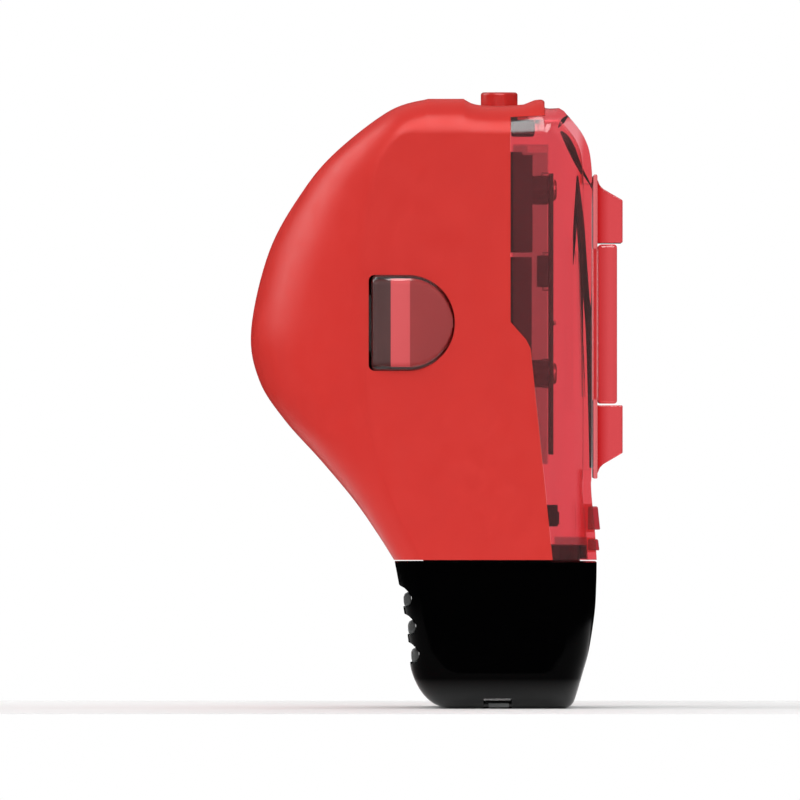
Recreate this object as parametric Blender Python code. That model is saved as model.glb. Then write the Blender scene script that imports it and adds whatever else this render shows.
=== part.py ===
"""Clip-on tuner: a palm-size instrument tuner with a deep opaque back shell, a see-through
front shell and a black base that pulls off downwards to reach the battery.

Frame: metres, +Z up, origin at the centre of the flat foot. The display faces +X, the crowned
back bulges towards -X, and the part is symmetric about the XZ plane.
"""

import math

import bmesh
import bpy
from mathutils import Vector

MM = 0.001

# Driving dimensions
HALF_WIDTH = 21.0 * MM
SHELL_WALL = 1.8 * MM
BASE_WALL = 1.6 * MM
SEAM_Z = 18.5 * MM
FIT = 0.2 * MM
ARC_STEPS = 5
CREASE_ANGLE = math.radians(24)

# Power button, on the top face
BUTTON_X = -1.1 * MM
BUTTON_RADIUS = 2.3 * MM
BUTTON_TOP_Z = 76.85 * MM
BUTTON_SEAT_Z = 73.2 * MM
FLANGE_RADIUS = 3.2 * MM
SWITCH_TOP_Z = 69.4 * MM
PLUNGER_RADIUS = 0.8 * MM
SPRING_RADIUS = 1.25 * MM

# Side paddles: D-shaped in the side view, hinged on an upright pin near their front end
PADDLE_BACK_X = -17.1 * MM
PADDLE_ROUND_X = -12.4 * MM
PADDLE_FRONT_X = -6.75 * MM
PADDLE_Z = 48.0 * MM
PADDLE_HALF_HEIGHT = 5.9 * MM
PADDLE_INNER_Y = 18.1 * MM
PADDLE_ARC = (90, 75, 60, 45, 30, 16, 6)
# Place along X and rise above the flank, in mm
PADDLE_RISE = (
    (-17.1, -0.6),
    (-16.9, 0.5),
    (-16.3, 1.05),
    (-15.3, 1.45),
    (-14.0, 1.6),
    (-12.3, 1.5),
    (-6.75, 0.05),
)
PIN_X = -5.0 * MM
PIN_Y = 18.0 * MM
PIN_RADIUS = 0.5 * MM
PIN_BORE = 0.58 * MM
BARREL_RADIUS = 0.95 * MM

# Display and bezel, on the front face
DISPLAY_Z = 47.55 * MM
LENS_Z = 47.87 * MM
BEZEL_HALF_HEIGHT = 18.95 * MM
BEZEL_HALF_WIDTH = 15.0 * MM
BEZEL_BACK_X = 10.6 * MM
BEZEL_FACE_X = 11.1 * MM
GUARD_FACE_X = 14.25 * MM
GUARD_INNER = 10.13 * MM
LENS_HALF_HEIGHT = 9.93 * MM
LENS_HALF_WIDTH = 13.0 * MM
LENS_FACE_X = 13.55 * MM
LENS_BOSS_X = 10.3 * MM
WINDOW_HALF_HEIGHT = 9.4 * MM
WINDOW_HALF_WIDTH = 12.2 * MM

# Opening in the front shell behind the bezel, and the leaning mask and glass that fill it
OPENING_Z = (29.7 * MM, 65.4 * MM)
OPENING_HALF_WIDTH = 13.6 * MM
MASK_BACK_X = 8.7 * MM
MASK_THICKNESS = 0.35 * MM
LCD_THICKNESS = 0.5 * MM
DISPLAY_LEAN = 0.0356

# Front key below the display
MODE_KEY_Z = 23.65 * MM

# Circuit board and what it carries
BOARD_X = (5.1 * MM, 5.6 * MM)
BOARD_Z = (31.6 * MM, 66.6 * MM)
BOARD_HALF_WIDTH = 17.0 * MM
BOARD_SCREW_Y = 14.5 * MM
BOARD_SCREW_Z = (41.7 * MM, 64.6 * MM)
BOARD_BOSS_RADIUS = 1.7 * MM
BOARD_BORE_END_X = 1.9 * MM
SOLDER_GAP = 0.1 * MM
SCREW_SHANK = 0.6 * MM
SCREW_BORE = 0.75 * MM
SCREW_HEAD = 0.35 * MM

# Small board behind the front key, which clips to two posts on the deck
KEY_BOARD_X = (3.6 * MM, 4.1 * MM)
KEY_BOARD_Z = (21.3 * MM, 29.6 * MM)
KEY_BOARD_HALF_WIDTH = 9.0 * MM
KEY_BOARD_POST_Y = (6.5 * MM, 8.5 * MM)

# Battery in the tail of the chassis, lying across the width
CELL_X = -1.8 * MM
CELL_Z = 10.6 * MM
CELL_RADIUS = 7.8 * MM
CELL_LENGTH = 26.2 * MM
CELL_START_Y = -13.3 * MM
TAIL_WALL_Y = 15.2 * MM
TAIL_WALL = 1.2 * MM
TAIL_FRONT_X = 6.9 * MM
TAIL_TOP_Z = 19.2 * MM

# Chassis deck, which is also the spigot that the base slides over
DECK_X = (-10.6 * MM, 8.9 * MM)
DECK_HALF_WIDTH = 18.9 * MM
DECK_Z = (17.2 * MM, 20.3 * MM)
DECK_CORNER = 4.0 * MM
CHASSIS_SCREW = (-7.8 * MM, 14.0 * MM)

# Base, with three grip slots across its back, each holding a soft bar
GRIP_SLOTS = ((-12.4 * MM, 14.45 * MM), (-11.85 * MM, 10.96 * MM), (-11.45 * MM, 7.48 * MM))
GRIP_BAR_HALF_LENGTH = 15.5 * MM
FOOT_X = 5.3 * MM
FOOT_Y = 14.9 * MM

# Each rim knot is (silhouette x, z, side face x, z, rounding depth in from the side), in mm.
# The silhouette is the outline at mid-width; the side face is where the flat flank ends.
BACK_RIM = (
    (-10.0, 75.9, -10.4, 71.4, 4.5),
    (-14.75, 74.45, -13.2, 71.2, 5.5),
    (-21.35, 69.45, -15.9, 67.9, 9.0),
    (-25.6, 64.5, -17.0, 63.4, 13.0),
    (-29.8, 57.05, -17.5, 56.45, 17.0),
    (-32.1, 47.2, -17.6, 47.2, 18.5),
    (-31.1, 40.9, -17.5, 41.0, 18.0),
    (-27.9, 35.9, -17.2, 36.5, 15.0),
    (-23.4, 30.9, -16.2, 31.5, 11.0),
    (-19.2, 25.9, -14.4, 26.2, 7.5),
    (-16.2, 21.6, -12.2, 21.8, 5.0),
    (-14.25, 18.5, -10.6, 18.5, 4.2),
)
FRONT_RIM = (
    (11.0, 18.5, 5.6, 18.5, 5.4),
    (10.75, 22.5, 5.6, 22.5, 5.4),
    (10.3, 27.5, 5.5, 27.5, 5.4),
    (10.4, 32.0, 5.5, 32.0, 5.4),
    (10.4, 60.0, 5.1, 60.0, 5.4),
    (10.35, 67.5, 4.9, 66.0, 5.4),
    (9.4, 71.2, 4.8, 69.5, 5.4),
    (6.9, 74.4, 4.7, 71.1, 5.0),
)
STEP_RIM = (
    (6.3, 74.75, 4.68, 71.3, 4.6),
    (4.6, 74.75, 4.6, 71.4, 4.5),
    (4.5, 75.5, 4.5, 71.4, 4.5),
    (4.1, 75.8, 4.1, 71.4, 4.5),
    (3.3, 75.75, 3.3, 71.4, 4.5),
)
# A shallow trough across the top, where the power button stands
TROUGH_RIM = (
    (1.9, 75.2, 1.9, 71.4, 4.5),
    (-1.1, 75.0, -1.1, 71.4, 4.5),
    (-4.1, 75.2, -4.1, 71.4, 4.5),
    (-5.6, 75.9, -5.6, 71.4, 4.5),
)
BASE_BACK_RIM = (
    (-14.15, 18.2, -10.6, 18.2, 4.2),
    (-13.6, 15.3, -10.2, 15.3, 4.2),
    (-12.9, 11.5, -9.8, 11.5, 4.2),
    (-12.35, 7.5, -9.2, 8.2, 4.2),
    (-12.1, 4.8, -8.7, 6.6, 4.2),
    (-11.0, 2.3, -7.8, 5.3, 4.3),
    (-9.3, 0.6, -6.8, 4.7, 4.4),
    (-7.2, 0.0, -5.6, 4.5, 4.5),
)
BASE_FRONT_RIM = (
    (7.0, 0.0, 4.2, 4.5, 4.5),
    (7.8, 0.4, 4.9, 4.8, 4.6),
    (8.35, 1.4, 5.2, 5.2, 4.8),
    (9.3, 4.6, 5.5, 6.4, 5.2),
    (10.05, 7.4, 5.55, 8.2, 5.4),
    (10.75, 12.0, 5.6, 12.2, 5.4),
    (10.95, 15.5, 5.6, 15.5, 5.4),
    (11.0, 18.2, 5.6, 18.2, 5.4),
)

# Outlines of a grip slot and of the bar in it, in mm from the slot's innermost upper corner
GRIP_SLOT_OUTLINE = (
    (-2.6, 2.6),
    (-1.1, 0.85),
    (-0.55, 0.55),
    (0.0, 0.0),
    (0.33, -0.5),
    (0.36, -1.05),
    (0.15, -1.55),
    (-0.25, -1.85),
    (-2.0, -2.2),
)
GRIP_BAR_OUTLINE = (
    (-0.12, -0.12),
    (0.2, -0.55),
    (0.24, -1.05),
    (0.05, -1.45),
    (-0.3, -1.7),
    (-0.56, -1.55),
    (-0.64, -1.2),
    (-0.66, -0.75),
    (-0.5, -0.35),
)

# The line in the side view where the opaque back shell meets the see-through front shell
PARTING = (
    (4.5, 73.8),
    (0.25, 73.6),
    (0.25, 48.1),
    (2.2, 45.9),
    (2.75, 44.8),
    (5.5, 18.4),
)

# name: (red, green, blue, roughness, metallic, alpha)
FINISHES = {
    "red_shell": (0.68, 0.035, 0.028, 0.38, 0.0, 1.0),
    "clear_red": (0.75, 0.04, 0.06, 0.12, 0.0, 0.5),
    "gloss_black": (0.01, 0.01, 0.011, 0.25, 0.0, 1.0),
    "dark_plastic": (0.03, 0.028, 0.028, 0.55, 0.0, 1.0),
    "board": (0.02, 0.05, 0.035, 0.5, 0.0, 1.0),
    "grey_rubber": (0.12, 0.12, 0.12, 0.6, 0.0, 1.0),
    "steel": (0.6, 0.6, 0.6, 0.3, 1.0, 1.0),
    "brass": (0.7, 0.5, 0.2, 0.3, 1.0, 1.0),
    "lcd_glass": (0.1, 0.12, 0.11, 0.1, 0.0, 1.0),
    "smoke_clear": (0.2, 0.05, 0.05, 0.2, 0.0, 0.6),
    "white_plastic": (0.8, 0.8, 0.78, 0.4, 0.0, 1.0),
    "can": (0.55, 0.56, 0.58, 0.35, 1.0, 1.0),
}


# ---- scene helpers ----


def clear_scene():
    for obj in list(bpy.data.objects):
        bpy.data.objects.remove(obj, do_unlink=True)


def finish_of(name):
    """The Principled material of one finish, made once and shared."""
    if name in bpy.data.materials:
        return bpy.data.materials[name]
    red, green, blue, roughness, metallic, alpha = FINISHES[name]
    material = bpy.data.materials.new(name)
    material.use_nodes = True
    shader = material.node_tree.nodes["Principled BSDF"]
    shader.inputs["Base Color"].default_value = (red, green, blue, 1.0)
    shader.inputs["Roughness"].default_value = roughness
    shader.inputs["Metallic"].default_value = metallic
    shader.inputs["Alpha"].default_value = alpha
    return material


def new_solid(name, points, faces, finish=None):
    """A mesh object from points in metres, with its faces turned outwards."""
    mesh = bpy.data.meshes.new(name)
    mesh.from_pydata([tuple(p) for p in points], [], faces)
    shape = bmesh.new()
    shape.from_mesh(mesh)
    bmesh.ops.recalc_face_normals(shape, faces=shape.faces)
    shape.to_mesh(mesh)
    shape.free()
    mesh.shade_smooth()
    mesh.set_sharp_from_angle(angle=math.radians(35))
    obj = bpy.data.objects.new(name, mesh)
    bpy.context.scene.collection.objects.link(obj)
    if finish:
        mesh.materials.append(finish_of(finish))
    return obj


def box(name, low, high, finish=None):
    xs, ys, zs = zip(low, high)
    points = [(x, y, z) for x in xs for y in ys for z in zs]
    faces = [(0, 1, 3, 2), (4, 6, 7, 5), (0, 4, 5, 1), (2, 3, 7, 6), (0, 2, 6, 4), (1, 5, 7, 3)]
    return new_solid(name, points, faces, finish)


def loft(name, rings, finish=None):
    """A closed solid through rings of equally many points, capped at both ends."""
    count = len(rings[0])
    points = [point for ring in rings for point in ring]
    faces = [tuple(range(count)), tuple(range(len(points) - count, len(points)))]
    for row in range(len(rings) - 1):
        for k in range(count):
            after = (k + 1) % count
            faces.append(
                (
                    row * count + k,
                    row * count + after,
                    (row + 1) * count + after,
                    (row + 1) * count + k,
                )
            )
    return new_solid(name, points, faces, finish)


def side_prism(name, outline, low_y, high_y, finish=None):
    """An outline in the side view, drawn through from low_y to high_y."""
    rings = [[(x, y, z) for x, z in outline] for y in (low_y, high_y)]
    return loft(name, rings, finish)


def lathe(name, profile, centre, axis, finish=None, segments=24):
    """A solid turned about an axis: profile holds (distance along the axis, radius)."""
    along = {"X": (1, 2, 0), "Y": (2, 0, 1), "Z": (0, 1, 2)}[axis]
    rings = []
    for distance, radius in profile:
        ring = []
        for k in range(segments):
            angle = 2 * math.pi * k / segments
            point = [0.0, 0.0, 0.0]
            point[along[0]] = centre[along[0]] + radius * math.cos(angle)
            point[along[1]] = centre[along[1]] + radius * math.sin(angle)
            point[along[2]] = centre[along[2]] + distance
            ring.append(tuple(point))
        rings.append(ring)
    return loft(name, rings, finish)


def rod(name, centre, axis, radius, start, end, finish=None, segments=20):
    return lathe(name, [(start, radius), (end, radius)], centre, axis, finish, segments)


def coil(name, centre, axis, turns, radii, start, end, wire, finish):
    """A wire coil along an axis whose radius runs from radii[0] to radii[1]."""
    steps = int(turns * 12)
    along = {"Y": (2, 0, 1), "Z": (0, 1, 2)}[axis]
    path = bpy.data.curves.new(name, "CURVE")
    path.dimensions = "3D"
    path.bevel_depth = wire
    path.bevel_resolution = 1
    path.use_fill_caps = True
    spline = path.splines.new("POLY")
    spline.points.add(steps)
    for k in range(steps + 1):
        share = k / steps
        angle = 2 * math.pi * turns * share
        radius = radii[0] + (radii[1] - radii[0]) * share
        point = [0.0, 0.0, 0.0]
        point[along[0]] = centre[along[0]] + radius * math.cos(angle)
        point[along[1]] = centre[along[1]] + radius * math.sin(angle)
        point[along[2]] = centre[along[2]] + start + (end - start) * share
        spline.points[k].co = (*point, 1.0)
    obj = bpy.data.objects.new(name, path)
    bpy.context.scene.collection.objects.link(obj)
    path.materials.append(finish_of(finish))
    return obj


def combine(obj, other, operation):
    """Adds a Boolean and turns the other shape into a hidden helper."""
    modifier = obj.modifiers.new(f"{operation.lower()}_{other.name}", "BOOLEAN")
    modifier.object = other
    modifier.operation = operation
    modifier.solver = "EXACT"
    other.hide_render = True
    other.display_type = "WIRE"
    return obj


def cut(obj, *others):
    for other in others:
        combine(obj, other, "DIFFERENCE")
    return obj


def join(obj, *others):
    for other in others:
        combine(obj, other, "UNION")
    return obj


def keep_inside(obj, other):
    return combine(obj, other, "INTERSECT")


def hang(pivot_name, pivot_at, *pieces):
    """Parents moving pieces to an empty on their joint's axis, without moving them."""
    pivot = bpy.data.objects.new(pivot_name, None)
    pivot.location = pivot_at
    bpy.context.scene.collection.objects.link(pivot)
    for piece in pieces:
        piece.parent = pivot
        piece.location = piece.location - pivot.location
    return pivot


# ---- the pillow shape that the shells and the base share ----


def through_knots(knots, steps):
    """Points of a Catmull-Rom curve through knots of any dimension, in metres."""
    padded = [knots[0], *knots, knots[-1]]
    found = []
    for a, b, c, d in zip(padded, padded[1:], padded[2:], padded[3:]):
        for k in range(steps):
            t = k / steps
            found.append(tuple(MM * between(t, *values) for values in zip(a, b, c, d)))
    found.append(tuple(MM * value for value in knots[-1]))
    return found


def between(t, p, q, r, s):
    """The Catmull-Rom value from q (at t = 0) to r (at t = 1), with neighbours p and s."""
    return q + 0.5 * t * (r - p + t * (2 * p - 5 * q + 4 * r - s + t * (3 * (q - r) + s - p)))


def in_metres(knots):
    return [tuple(MM * value for value in knot) for knot in knots]


def body_rim():
    """The rim of the upper body, from the back seam up over the top and down the front."""
    rising = through_knots(BACK_RIM, 3)[::-1]
    trough = in_metres(TROUGH_RIM)[::-1]
    step = in_metres(STEP_RIM)[::-1]
    falling = through_knots(FRONT_RIM, 2)[::-1]
    return rising + trough + step + falling


def base_rim():
    """The rim of the base, from the front seam down under the foot and up the back."""
    falling = through_knots(BASE_FRONT_RIM, 2)[::-1]
    rising = through_knots(BASE_BACK_RIM, 2)[::-1]
    return falling + rising


def inset_rim(rim, wall):
    """The rim of the hollow inside: the silhouette moves in by the wall, square to itself."""
    count = len(rim)
    found = []
    for k, (x, z, side_x, side_z, depth) in enumerate(rim):
        before = Vector(rim[max(k - 1, 0)][:2])
        after = Vector(rim[min(k + 1, count - 1)][:2])
        run = (after - before).normalized()
        inward = Vector((run.y, -run.x))
        found.append((x + wall * inward.x, z + wall * inward.y, side_x, side_z, depth - wall))
    return found


def crease_of(depth):
    """How sharply the crown leaves the flat flank: soft on fillets, creased on the deep back."""
    share = min(max((depth - 6 * MM) / (9 * MM), 0.0), 1.0)
    return CREASE_ANGLE * share


def pillow(name, rim, half_width, finish=None):
    """A solid with flat flanks whose edge rounds over, by each rim point's own depth."""
    rings = []
    for x, z, side_x, side_z, depth in rim:
        crease = crease_of(depth)
        half = []
        for k in range(ARC_STEPS + 1):
            angle = crease + (math.pi / 2 - crease) * k / ARC_STEPS
            share = (math.sin(angle) - math.sin(crease)) / (1 - math.sin(crease))
            y = half_width - depth + depth * math.cos(angle) / math.cos(crease)
            half.append((side_x + (x - side_x) * share, y, side_z + (z - side_z) * share))
        rings.append(half + [(px, -py, pz) for px, py, pz in reversed(half)])
    columns = len(rings[0])
    count = len(rings)
    points = [point for ring in rings for point in ring]
    faces = []
    for i in range(count):
        after = (i + 1) % count
        for k in range(columns - 1):
            faces.append(
                (i * columns + k, after * columns + k, after * columns + k + 1, i * columns + k + 1)
            )
    for column in (0, columns - 1):
        faces.append(tuple(i * columns + column for i in range(count)))
    return new_solid(name, points, faces, finish)


def body_hollow(name):
    """The space inside both upper shells; it runs out through the seam."""
    low_top = 71.9 * MM
    rim = inset_rim(body_rim(), SHELL_WALL)
    found = []
    for x, z, side_x, side_z, depth in rim:
        if x > 0:
            z = min(z, low_top)
            side_z = min(side_z, low_top - 1.2 * MM)
        found.append((x, z, side_x, side_z, depth))
    overshoot = 1.5 * MM
    for end in (0, -1):
        x, z, side_x, side_z, depth = found[end]
        found[end] = (x, SEAM_Z - overshoot, side_x, SEAM_Z - overshoot, depth)
    return pillow(name, found, HALF_WIDTH - SHELL_WALL)


def base_hollow(name):
    """The space inside the base, above its floor; it runs out through the top."""
    floor_z = 2.4 * MM
    lowest_side_z = 4.5 * MM
    found = []
    for x, z, side_x, side_z, depth in inset_rim(base_rim(), BASE_WALL):
        found.append((x, max(z, floor_z), side_x, max(side_z, lowest_side_z), depth))
    overshoot = 1.5 * MM
    for end in (0, -1):
        x, z, side_x, side_z, depth = found[end]
        found[end] = (x, SEAM_Z + overshoot, side_x, SEAM_Z + overshoot, depth)
    return pillow(name, found, HALF_WIDTH - BASE_WALL)


def parting_region(name, front, gap=0.0):
    """Everything behind the parting line, or everything in front of it by a gap."""
    line = [(x * MM, z * MM) for x, z in PARTING]
    if front:
        line = [(x + gap, z - (gap if k < 2 else 0.0)) for k, (x, z) in enumerate(line)]
    far_x = 40 * MM if front else -45 * MM
    high, low = 90 * MM, 10 * MM
    first_x = line[0][0]
    outline = [(far_x, high), (first_x, high), *line, (line[-1][0], low), (far_x, low)]
    reach = 30 * MM
    return side_prism(name, outline, -reach, reach)


# ---- casing ----


def paddle_outline(margin=0.0):
    """The D of a side paddle in the side view: square at the back, elliptical in front."""
    half = PADDLE_HALF_HEIGHT + margin
    back = PADDLE_BACK_X - margin
    corner = 0.7 * MM
    points = [
        (back + corner, PADDLE_Z + half),
        (back + 0.2 * corner, PADDLE_Z + half - 0.2 * corner),
        (back, PADDLE_Z + half - corner),
    ]
    points += [(x, 2 * PADDLE_Z - z) for x, z in reversed(points)]
    reach = PADDLE_FRONT_X + margin - PADDLE_ROUND_X
    for degrees in [-angle for angle in PADDLE_ARC] + [angle for angle in reversed(PADDLE_ARC)]:
        angle = math.radians(degrees)
        points.append((PADDLE_ROUND_X + reach * math.cos(angle), PADDLE_Z + half * math.sin(angle)))
    return points


def rear_shell():
    shell = pillow("rear_shell", body_rim(), HALF_WIDTH, "red_shell")
    cut(shell, body_hollow("rear_hollow"))
    keep_inside(shell, parting_region("rear_region", front=False))
    window = side_prism("paddle_window", paddle_outline(0.3 * MM), -25 * MM, 25 * MM)
    hole = rod("button_hole", (BUTTON_X, 0, 0), "Z", BUTTON_RADIUS + FIT, 70 * MM, 80 * MM)
    seat = rod("button_seat", (BUTTON_X, 0, 0), "Z", FLANGE_RADIUS + 0.4 * MM, 70 * MM, BUTTON_SEAT_Z)
    cut(shell, window, hole, seat)
    x, y = CHASSIS_SCREW
    low, high = DECK_Z[1] + 0.3 * MM, 27 * MM
    for side, sign in (("left", 1), ("right", -1)):
        boss = rod(f"{side}_boss", (x, sign * y, 0), "Z", 2.1 * MM, low, high)
        ends = sorted((sign * y, sign * (HALF_WIDTH - 0.9 * MM)))
        rib = box(f"{side}_rib", (x - 0.8 * MM, ends[0], low), (x + 0.8 * MM, ends[1], high))
        bore = rod(f"{side}_bore", (x, sign * y, 0), "Z", SCREW_BORE, 19 * MM, 26 * MM)
        join(shell, boss, rib)
        cut(shell, bore)
    return shell


def front_shell():
    shell = pillow("front_shell", body_rim(), HALF_WIDTH, "clear_red")
    cut(shell, body_hollow("front_hollow"))
    keep_inside(shell, parting_region("front_region", front=True, gap=FIT))
    window = box(
        "display_opening",
        (7 * MM, -OPENING_HALF_WIDTH, OPENING_Z[0]),
        (15 * MM, OPENING_HALF_WIDTH, OPENING_Z[1]),
    )
    key_hole = box("key_hole", (7 * MM, -4.2 * MM, 21.9 * MM), (15 * MM, 4.2 * MM, 25.4 * MM))
    lamp_hole = box("lamp_hole", (7 * MM, -2.2 * MM, 19.4 * MM), (15 * MM, 2.2 * MM, 21.2 * MM))
    notch = rod("button_notch", (BUTTON_X, 0, 0), "Z", FLANGE_RADIUS + 0.5 * MM, 69 * MM, 76 * MM)
    return cut(shell, window, key_hole, lamp_hole, notch)


def base_cap():
    cap = pillow("base_cap", base_rim(), HALF_WIDTH, "gloss_black")
    cut(cap, base_hollow("base_hollow"))
    for k, (x, z) in enumerate(GRIP_SLOTS):
        outline = [(x + dx * MM, z + dz * MM) for dx, dz in GRIP_SLOT_OUTLINE]
        cut(cap, side_prism(f"grip_slot_{k + 1}", outline, -25 * MM, 25 * MM))
    pocket_z = 1.25 * MM
    margin = 0.3 * MM
    pocket = box(
        "foot_pocket",
        (-FOOT_X - margin, -FOOT_Y - margin, -1 * MM),
        (FOOT_X + margin, FOOT_Y + margin, pocket_z),
    )
    notch = box("tab_notch", (-3.1 * MM, -23 * MM, -1 * MM), (0.4 * MM, 23 * MM, pocket_z))
    return cut(cap, pocket, notch)


def grip_bars():
    """Soft bars pressed into the slots, stopping short of the rounded corners."""
    bars = []
    for k, (x, z) in enumerate(GRIP_SLOTS):
        outline = [(x + dx * MM, z + dz * MM) for dx, dz in GRIP_BAR_OUTLINE]
        reach = GRIP_BAR_HALF_LENGTH
        bars.append(side_prism(f"grip_bar_{k + 1}", outline, -reach, reach, "grey_rubber"))
    return bars


def foot_plate():
    plate = box("foot_plate", (-FOOT_X, -FOOT_Y, 0), (FOOT_X, FOOT_Y, 0.95 * MM), "gloss_black")
    tab = box("snap_tabs", (-2.5 * MM, -17.5 * MM, 0.12 * MM), (0.1 * MM, 17.5 * MM, 0.7 * MM))
    return join(plate, tab)


# ---- chassis, battery and contacts ----


def chassis():
    corner_steps = 4
    outline = []
    centres = (
        (DECK_X[1] - DECK_CORNER, DECK_HALF_WIDTH - DECK_CORNER, 0),
        (DECK_X[0] + DECK_CORNER, DECK_HALF_WIDTH - DECK_CORNER, 90),
        (DECK_X[0] + DECK_CORNER, DECK_CORNER - DECK_HALF_WIDTH, 180),
        (DECK_X[1] - DECK_CORNER, DECK_CORNER - DECK_HALF_WIDTH, 270),
    )
    for x, y, turned in centres:
        for k in range(corner_steps + 1):
            angle = math.radians(turned + 90 * k / corner_steps)
            outline.append((x + DECK_CORNER * math.cos(angle), y + DECK_CORNER * math.sin(angle)))
    rings = [[(x, y, z) for x, y in outline] for z in DECK_Z]
    deck = loft("chassis", rings, "dark_plastic")
    rim = 1.2 * MM
    plate_z = 18.8 * MM
    reach = TAIL_WALL_Y + TAIL_WALL
    pocket = box(
        "deck_pocket",
        (DECK_X[0] + rim, rim - DECK_HALF_WIDTH, 16 * MM),
        (DECK_X[1] - rim, DECK_HALF_WIDTH - rim, plate_z),
    )
    cut(deck, pocket)
    for side, sign in (("left", 1), ("right", -1)):
        ends = sorted((sign * TAIL_WALL_Y, sign * reach))
        low = (-6.3 * MM, ends[0], 4.6 * MM)
        high = (TAIL_FRONT_X, ends[1], TAIL_TOP_Z)
        join(deck, box(f"{side}_tail_wall", low, high))
        ends = sorted(sign * y for y in KEY_BOARD_POST_Y)
        low, high = (2.2 * MM, ends[0], 20 * MM), (KEY_BOARD_X[0] - SOLDER_GAP, ends[1], 29.4 * MM)
        join(deck, box(f"{side}_board_post", low, high))
    low = (TAIL_FRONT_X - 0.6 * MM, -reach, 7.4 * MM)
    join(deck, box("tail_front_wall", low, (TAIL_FRONT_X, reach, TAIL_TOP_Z)))
    x, y = CHASSIS_SCREW
    for sign in (1, -1):
        hole = rod(f"deck_hole_{sign + 1}", (x, sign * y, 0), "Z", SCREW_BORE, 16 * MM, 22 * MM)
        cut(deck, hole)
    return deck


def battery_cell():
    r, length = CELL_RADIUS, CELL_LENGTH
    chamfer = 0.4 * MM
    nub_radius, nub_end = 2.6 * MM, length + 0.8 * MM
    profile = [
        (0, r - chamfer),
        (chamfer, r),
        (length - chamfer, r),
        (length, r - chamfer),
        (length, nub_radius),
        (nub_end, nub_radius),
    ]
    return lathe("battery_cell", profile, (CELL_X, CELL_START_Y, CELL_Z), "Y", "can", 32)


def battery_contacts():
    """A flat plate for the nub and a coned spring for the can, each against a tail wall."""
    half = 3.5 * MM
    start = CELL_START_Y + CELL_LENGTH + 0.95 * MM
    box(
        "plus_contact",
        (CELL_X - half, start, CELL_Z - half),
        (CELL_X + half, start + 0.4 * MM, CELL_Z + half),
        "brass",
    )
    centre = (CELL_X, 0, CELL_Z)
    wire = 0.2 * MM
    start, end = 0.35 * MM - TAIL_WALL_Y, CELL_START_Y - 0.35 * MM
    coil("minus_spring", centre, "Y", 2.5, (4.2 * MM, 2.0 * MM), start, end, wire, "steel")


def screw(name, where, axis, head_at, length):
    """A pan-head screw. The shank starts at head_at; a negative length points it backwards."""
    head = math.copysign(SCREW_HEAD, length)
    head_radius = 1.3 * MM
    profile = [
        (head_at - head, 0.9 * MM),
        (head_at - 0.6 * head, head_radius),
        (head_at, head_radius),
        (head_at, SCREW_SHANK),
        (head_at + length, SCREW_SHANK),
    ]
    return lathe(name, profile, where, axis, "steel", 16)


def screws():
    for tag, where in board_screw_places():
        screw(f"board_screw_{tag}", where, "X", BOARD_X[1] + 0.05 * MM, -3.4 * MM)
    x, y = CHASSIS_SCREW
    for side, sign in (("left", 1), ("right", -1)):
        screw(f"chassis_screw_{side}", (x, sign * y, 0), "Z", 18.7 * MM, 6.2 * MM)


# ---- electronics ----


def board_screw_places():
    """The four screw axes through the board, each with a tag for its helpers' names."""
    for z, level in zip(BOARD_SCREW_Z, ("low", "high")):
        for side, sign in (("left", 1), ("right", -1)):
            yield f"{level}_{side}", (0, sign * BOARD_SCREW_Y, z)


def main_board():
    board = box(
        "main_board",
        (BOARD_X[0], -BOARD_HALF_WIDTH, BOARD_Z[0]),
        (BOARD_X[1], BOARD_HALF_WIDTH, BOARD_Z[1]),
        "board",
    )
    for tag, where in board_screw_places():
        cut(board, rod(f"board_hole_{tag}", where, "X", SCREW_BORE, 4 * MM, 7 * MM))
    return board


def board_boss(holder, level, start_x):
    """Gives a block behind the board its two screw posts."""
    for tag, where in board_screw_places():
        if tag.startswith(level):
            end_x = BOARD_X[0] - SOLDER_GAP
            join(holder, rod(f"board_boss_{tag}", where, "X", BOARD_BOSS_RADIUS, start_x, end_x))
            cut(holder, rod(f"board_bore_{tag}", where, "X", SCREW_BORE, BOARD_BORE_END_X, 6 * MM))
    return holder


def chip(name, centre_y, low_z, high_z, back_x, half_width):
    """A chip on the back of the board, clear of the solder by a hair."""
    return box(
        name,
        (back_x, centre_y - half_width, low_z),
        (BOARD_X[0] - SOLDER_GAP, centre_y + half_width, high_z),
        "dark_plastic",
    )


def board_parts():
    chip("tuner_chip", 0, 63.5 * MM, 66.4 * MM, 3.4 * MM, 6 * MM)
    chip("driver_chip", -4 * MM, 52.5 * MM, 56.4 * MM, 3.6 * MM, 8 * MM)
    chip("memory_chip", 2 * MM, 40.3 * MM, 43.1 * MM, 3.7 * MM, 5 * MM)


def key_board():
    """The small board with the front key's switch, the lamp, and the microphone behind."""
    box(
        "key_board",
        (KEY_BOARD_X[0], -KEY_BOARD_HALF_WIDTH, KEY_BOARD_Z[0]),
        (KEY_BOARD_X[1], KEY_BOARD_HALF_WIDTH, KEY_BOARD_Z[1]),
        "board",
    )
    face = KEY_BOARD_X[1] + SOLDER_GAP
    half = 2.3 * MM
    switch = box("mode_switch", (face, -half, 22.6 * MM), (6.2 * MM, half, 25.3 * MM), "dark_plastic")
    join(switch, rod("mode_plunger", (0, 0, MODE_KEY_Z), "X", 0.8 * MM, 6 * MM, 6.4 * MM))
    box("indicator_led", (face, -0.8 * MM, 21.4 * MM), (4.9 * MM, 0.8 * MM, 22.2 * MM), "white_plastic")
    lathe(
        "microphone",
        [(-1.05 * MM, 1.8 * MM), (-0.9 * MM, 2.0 * MM), (0, 2.0 * MM)],
        (KEY_BOARD_X[0] - SOLDER_GAP, 3 * MM, 25.8 * MM),
        "X",
        "can",
        20,
    )


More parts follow.
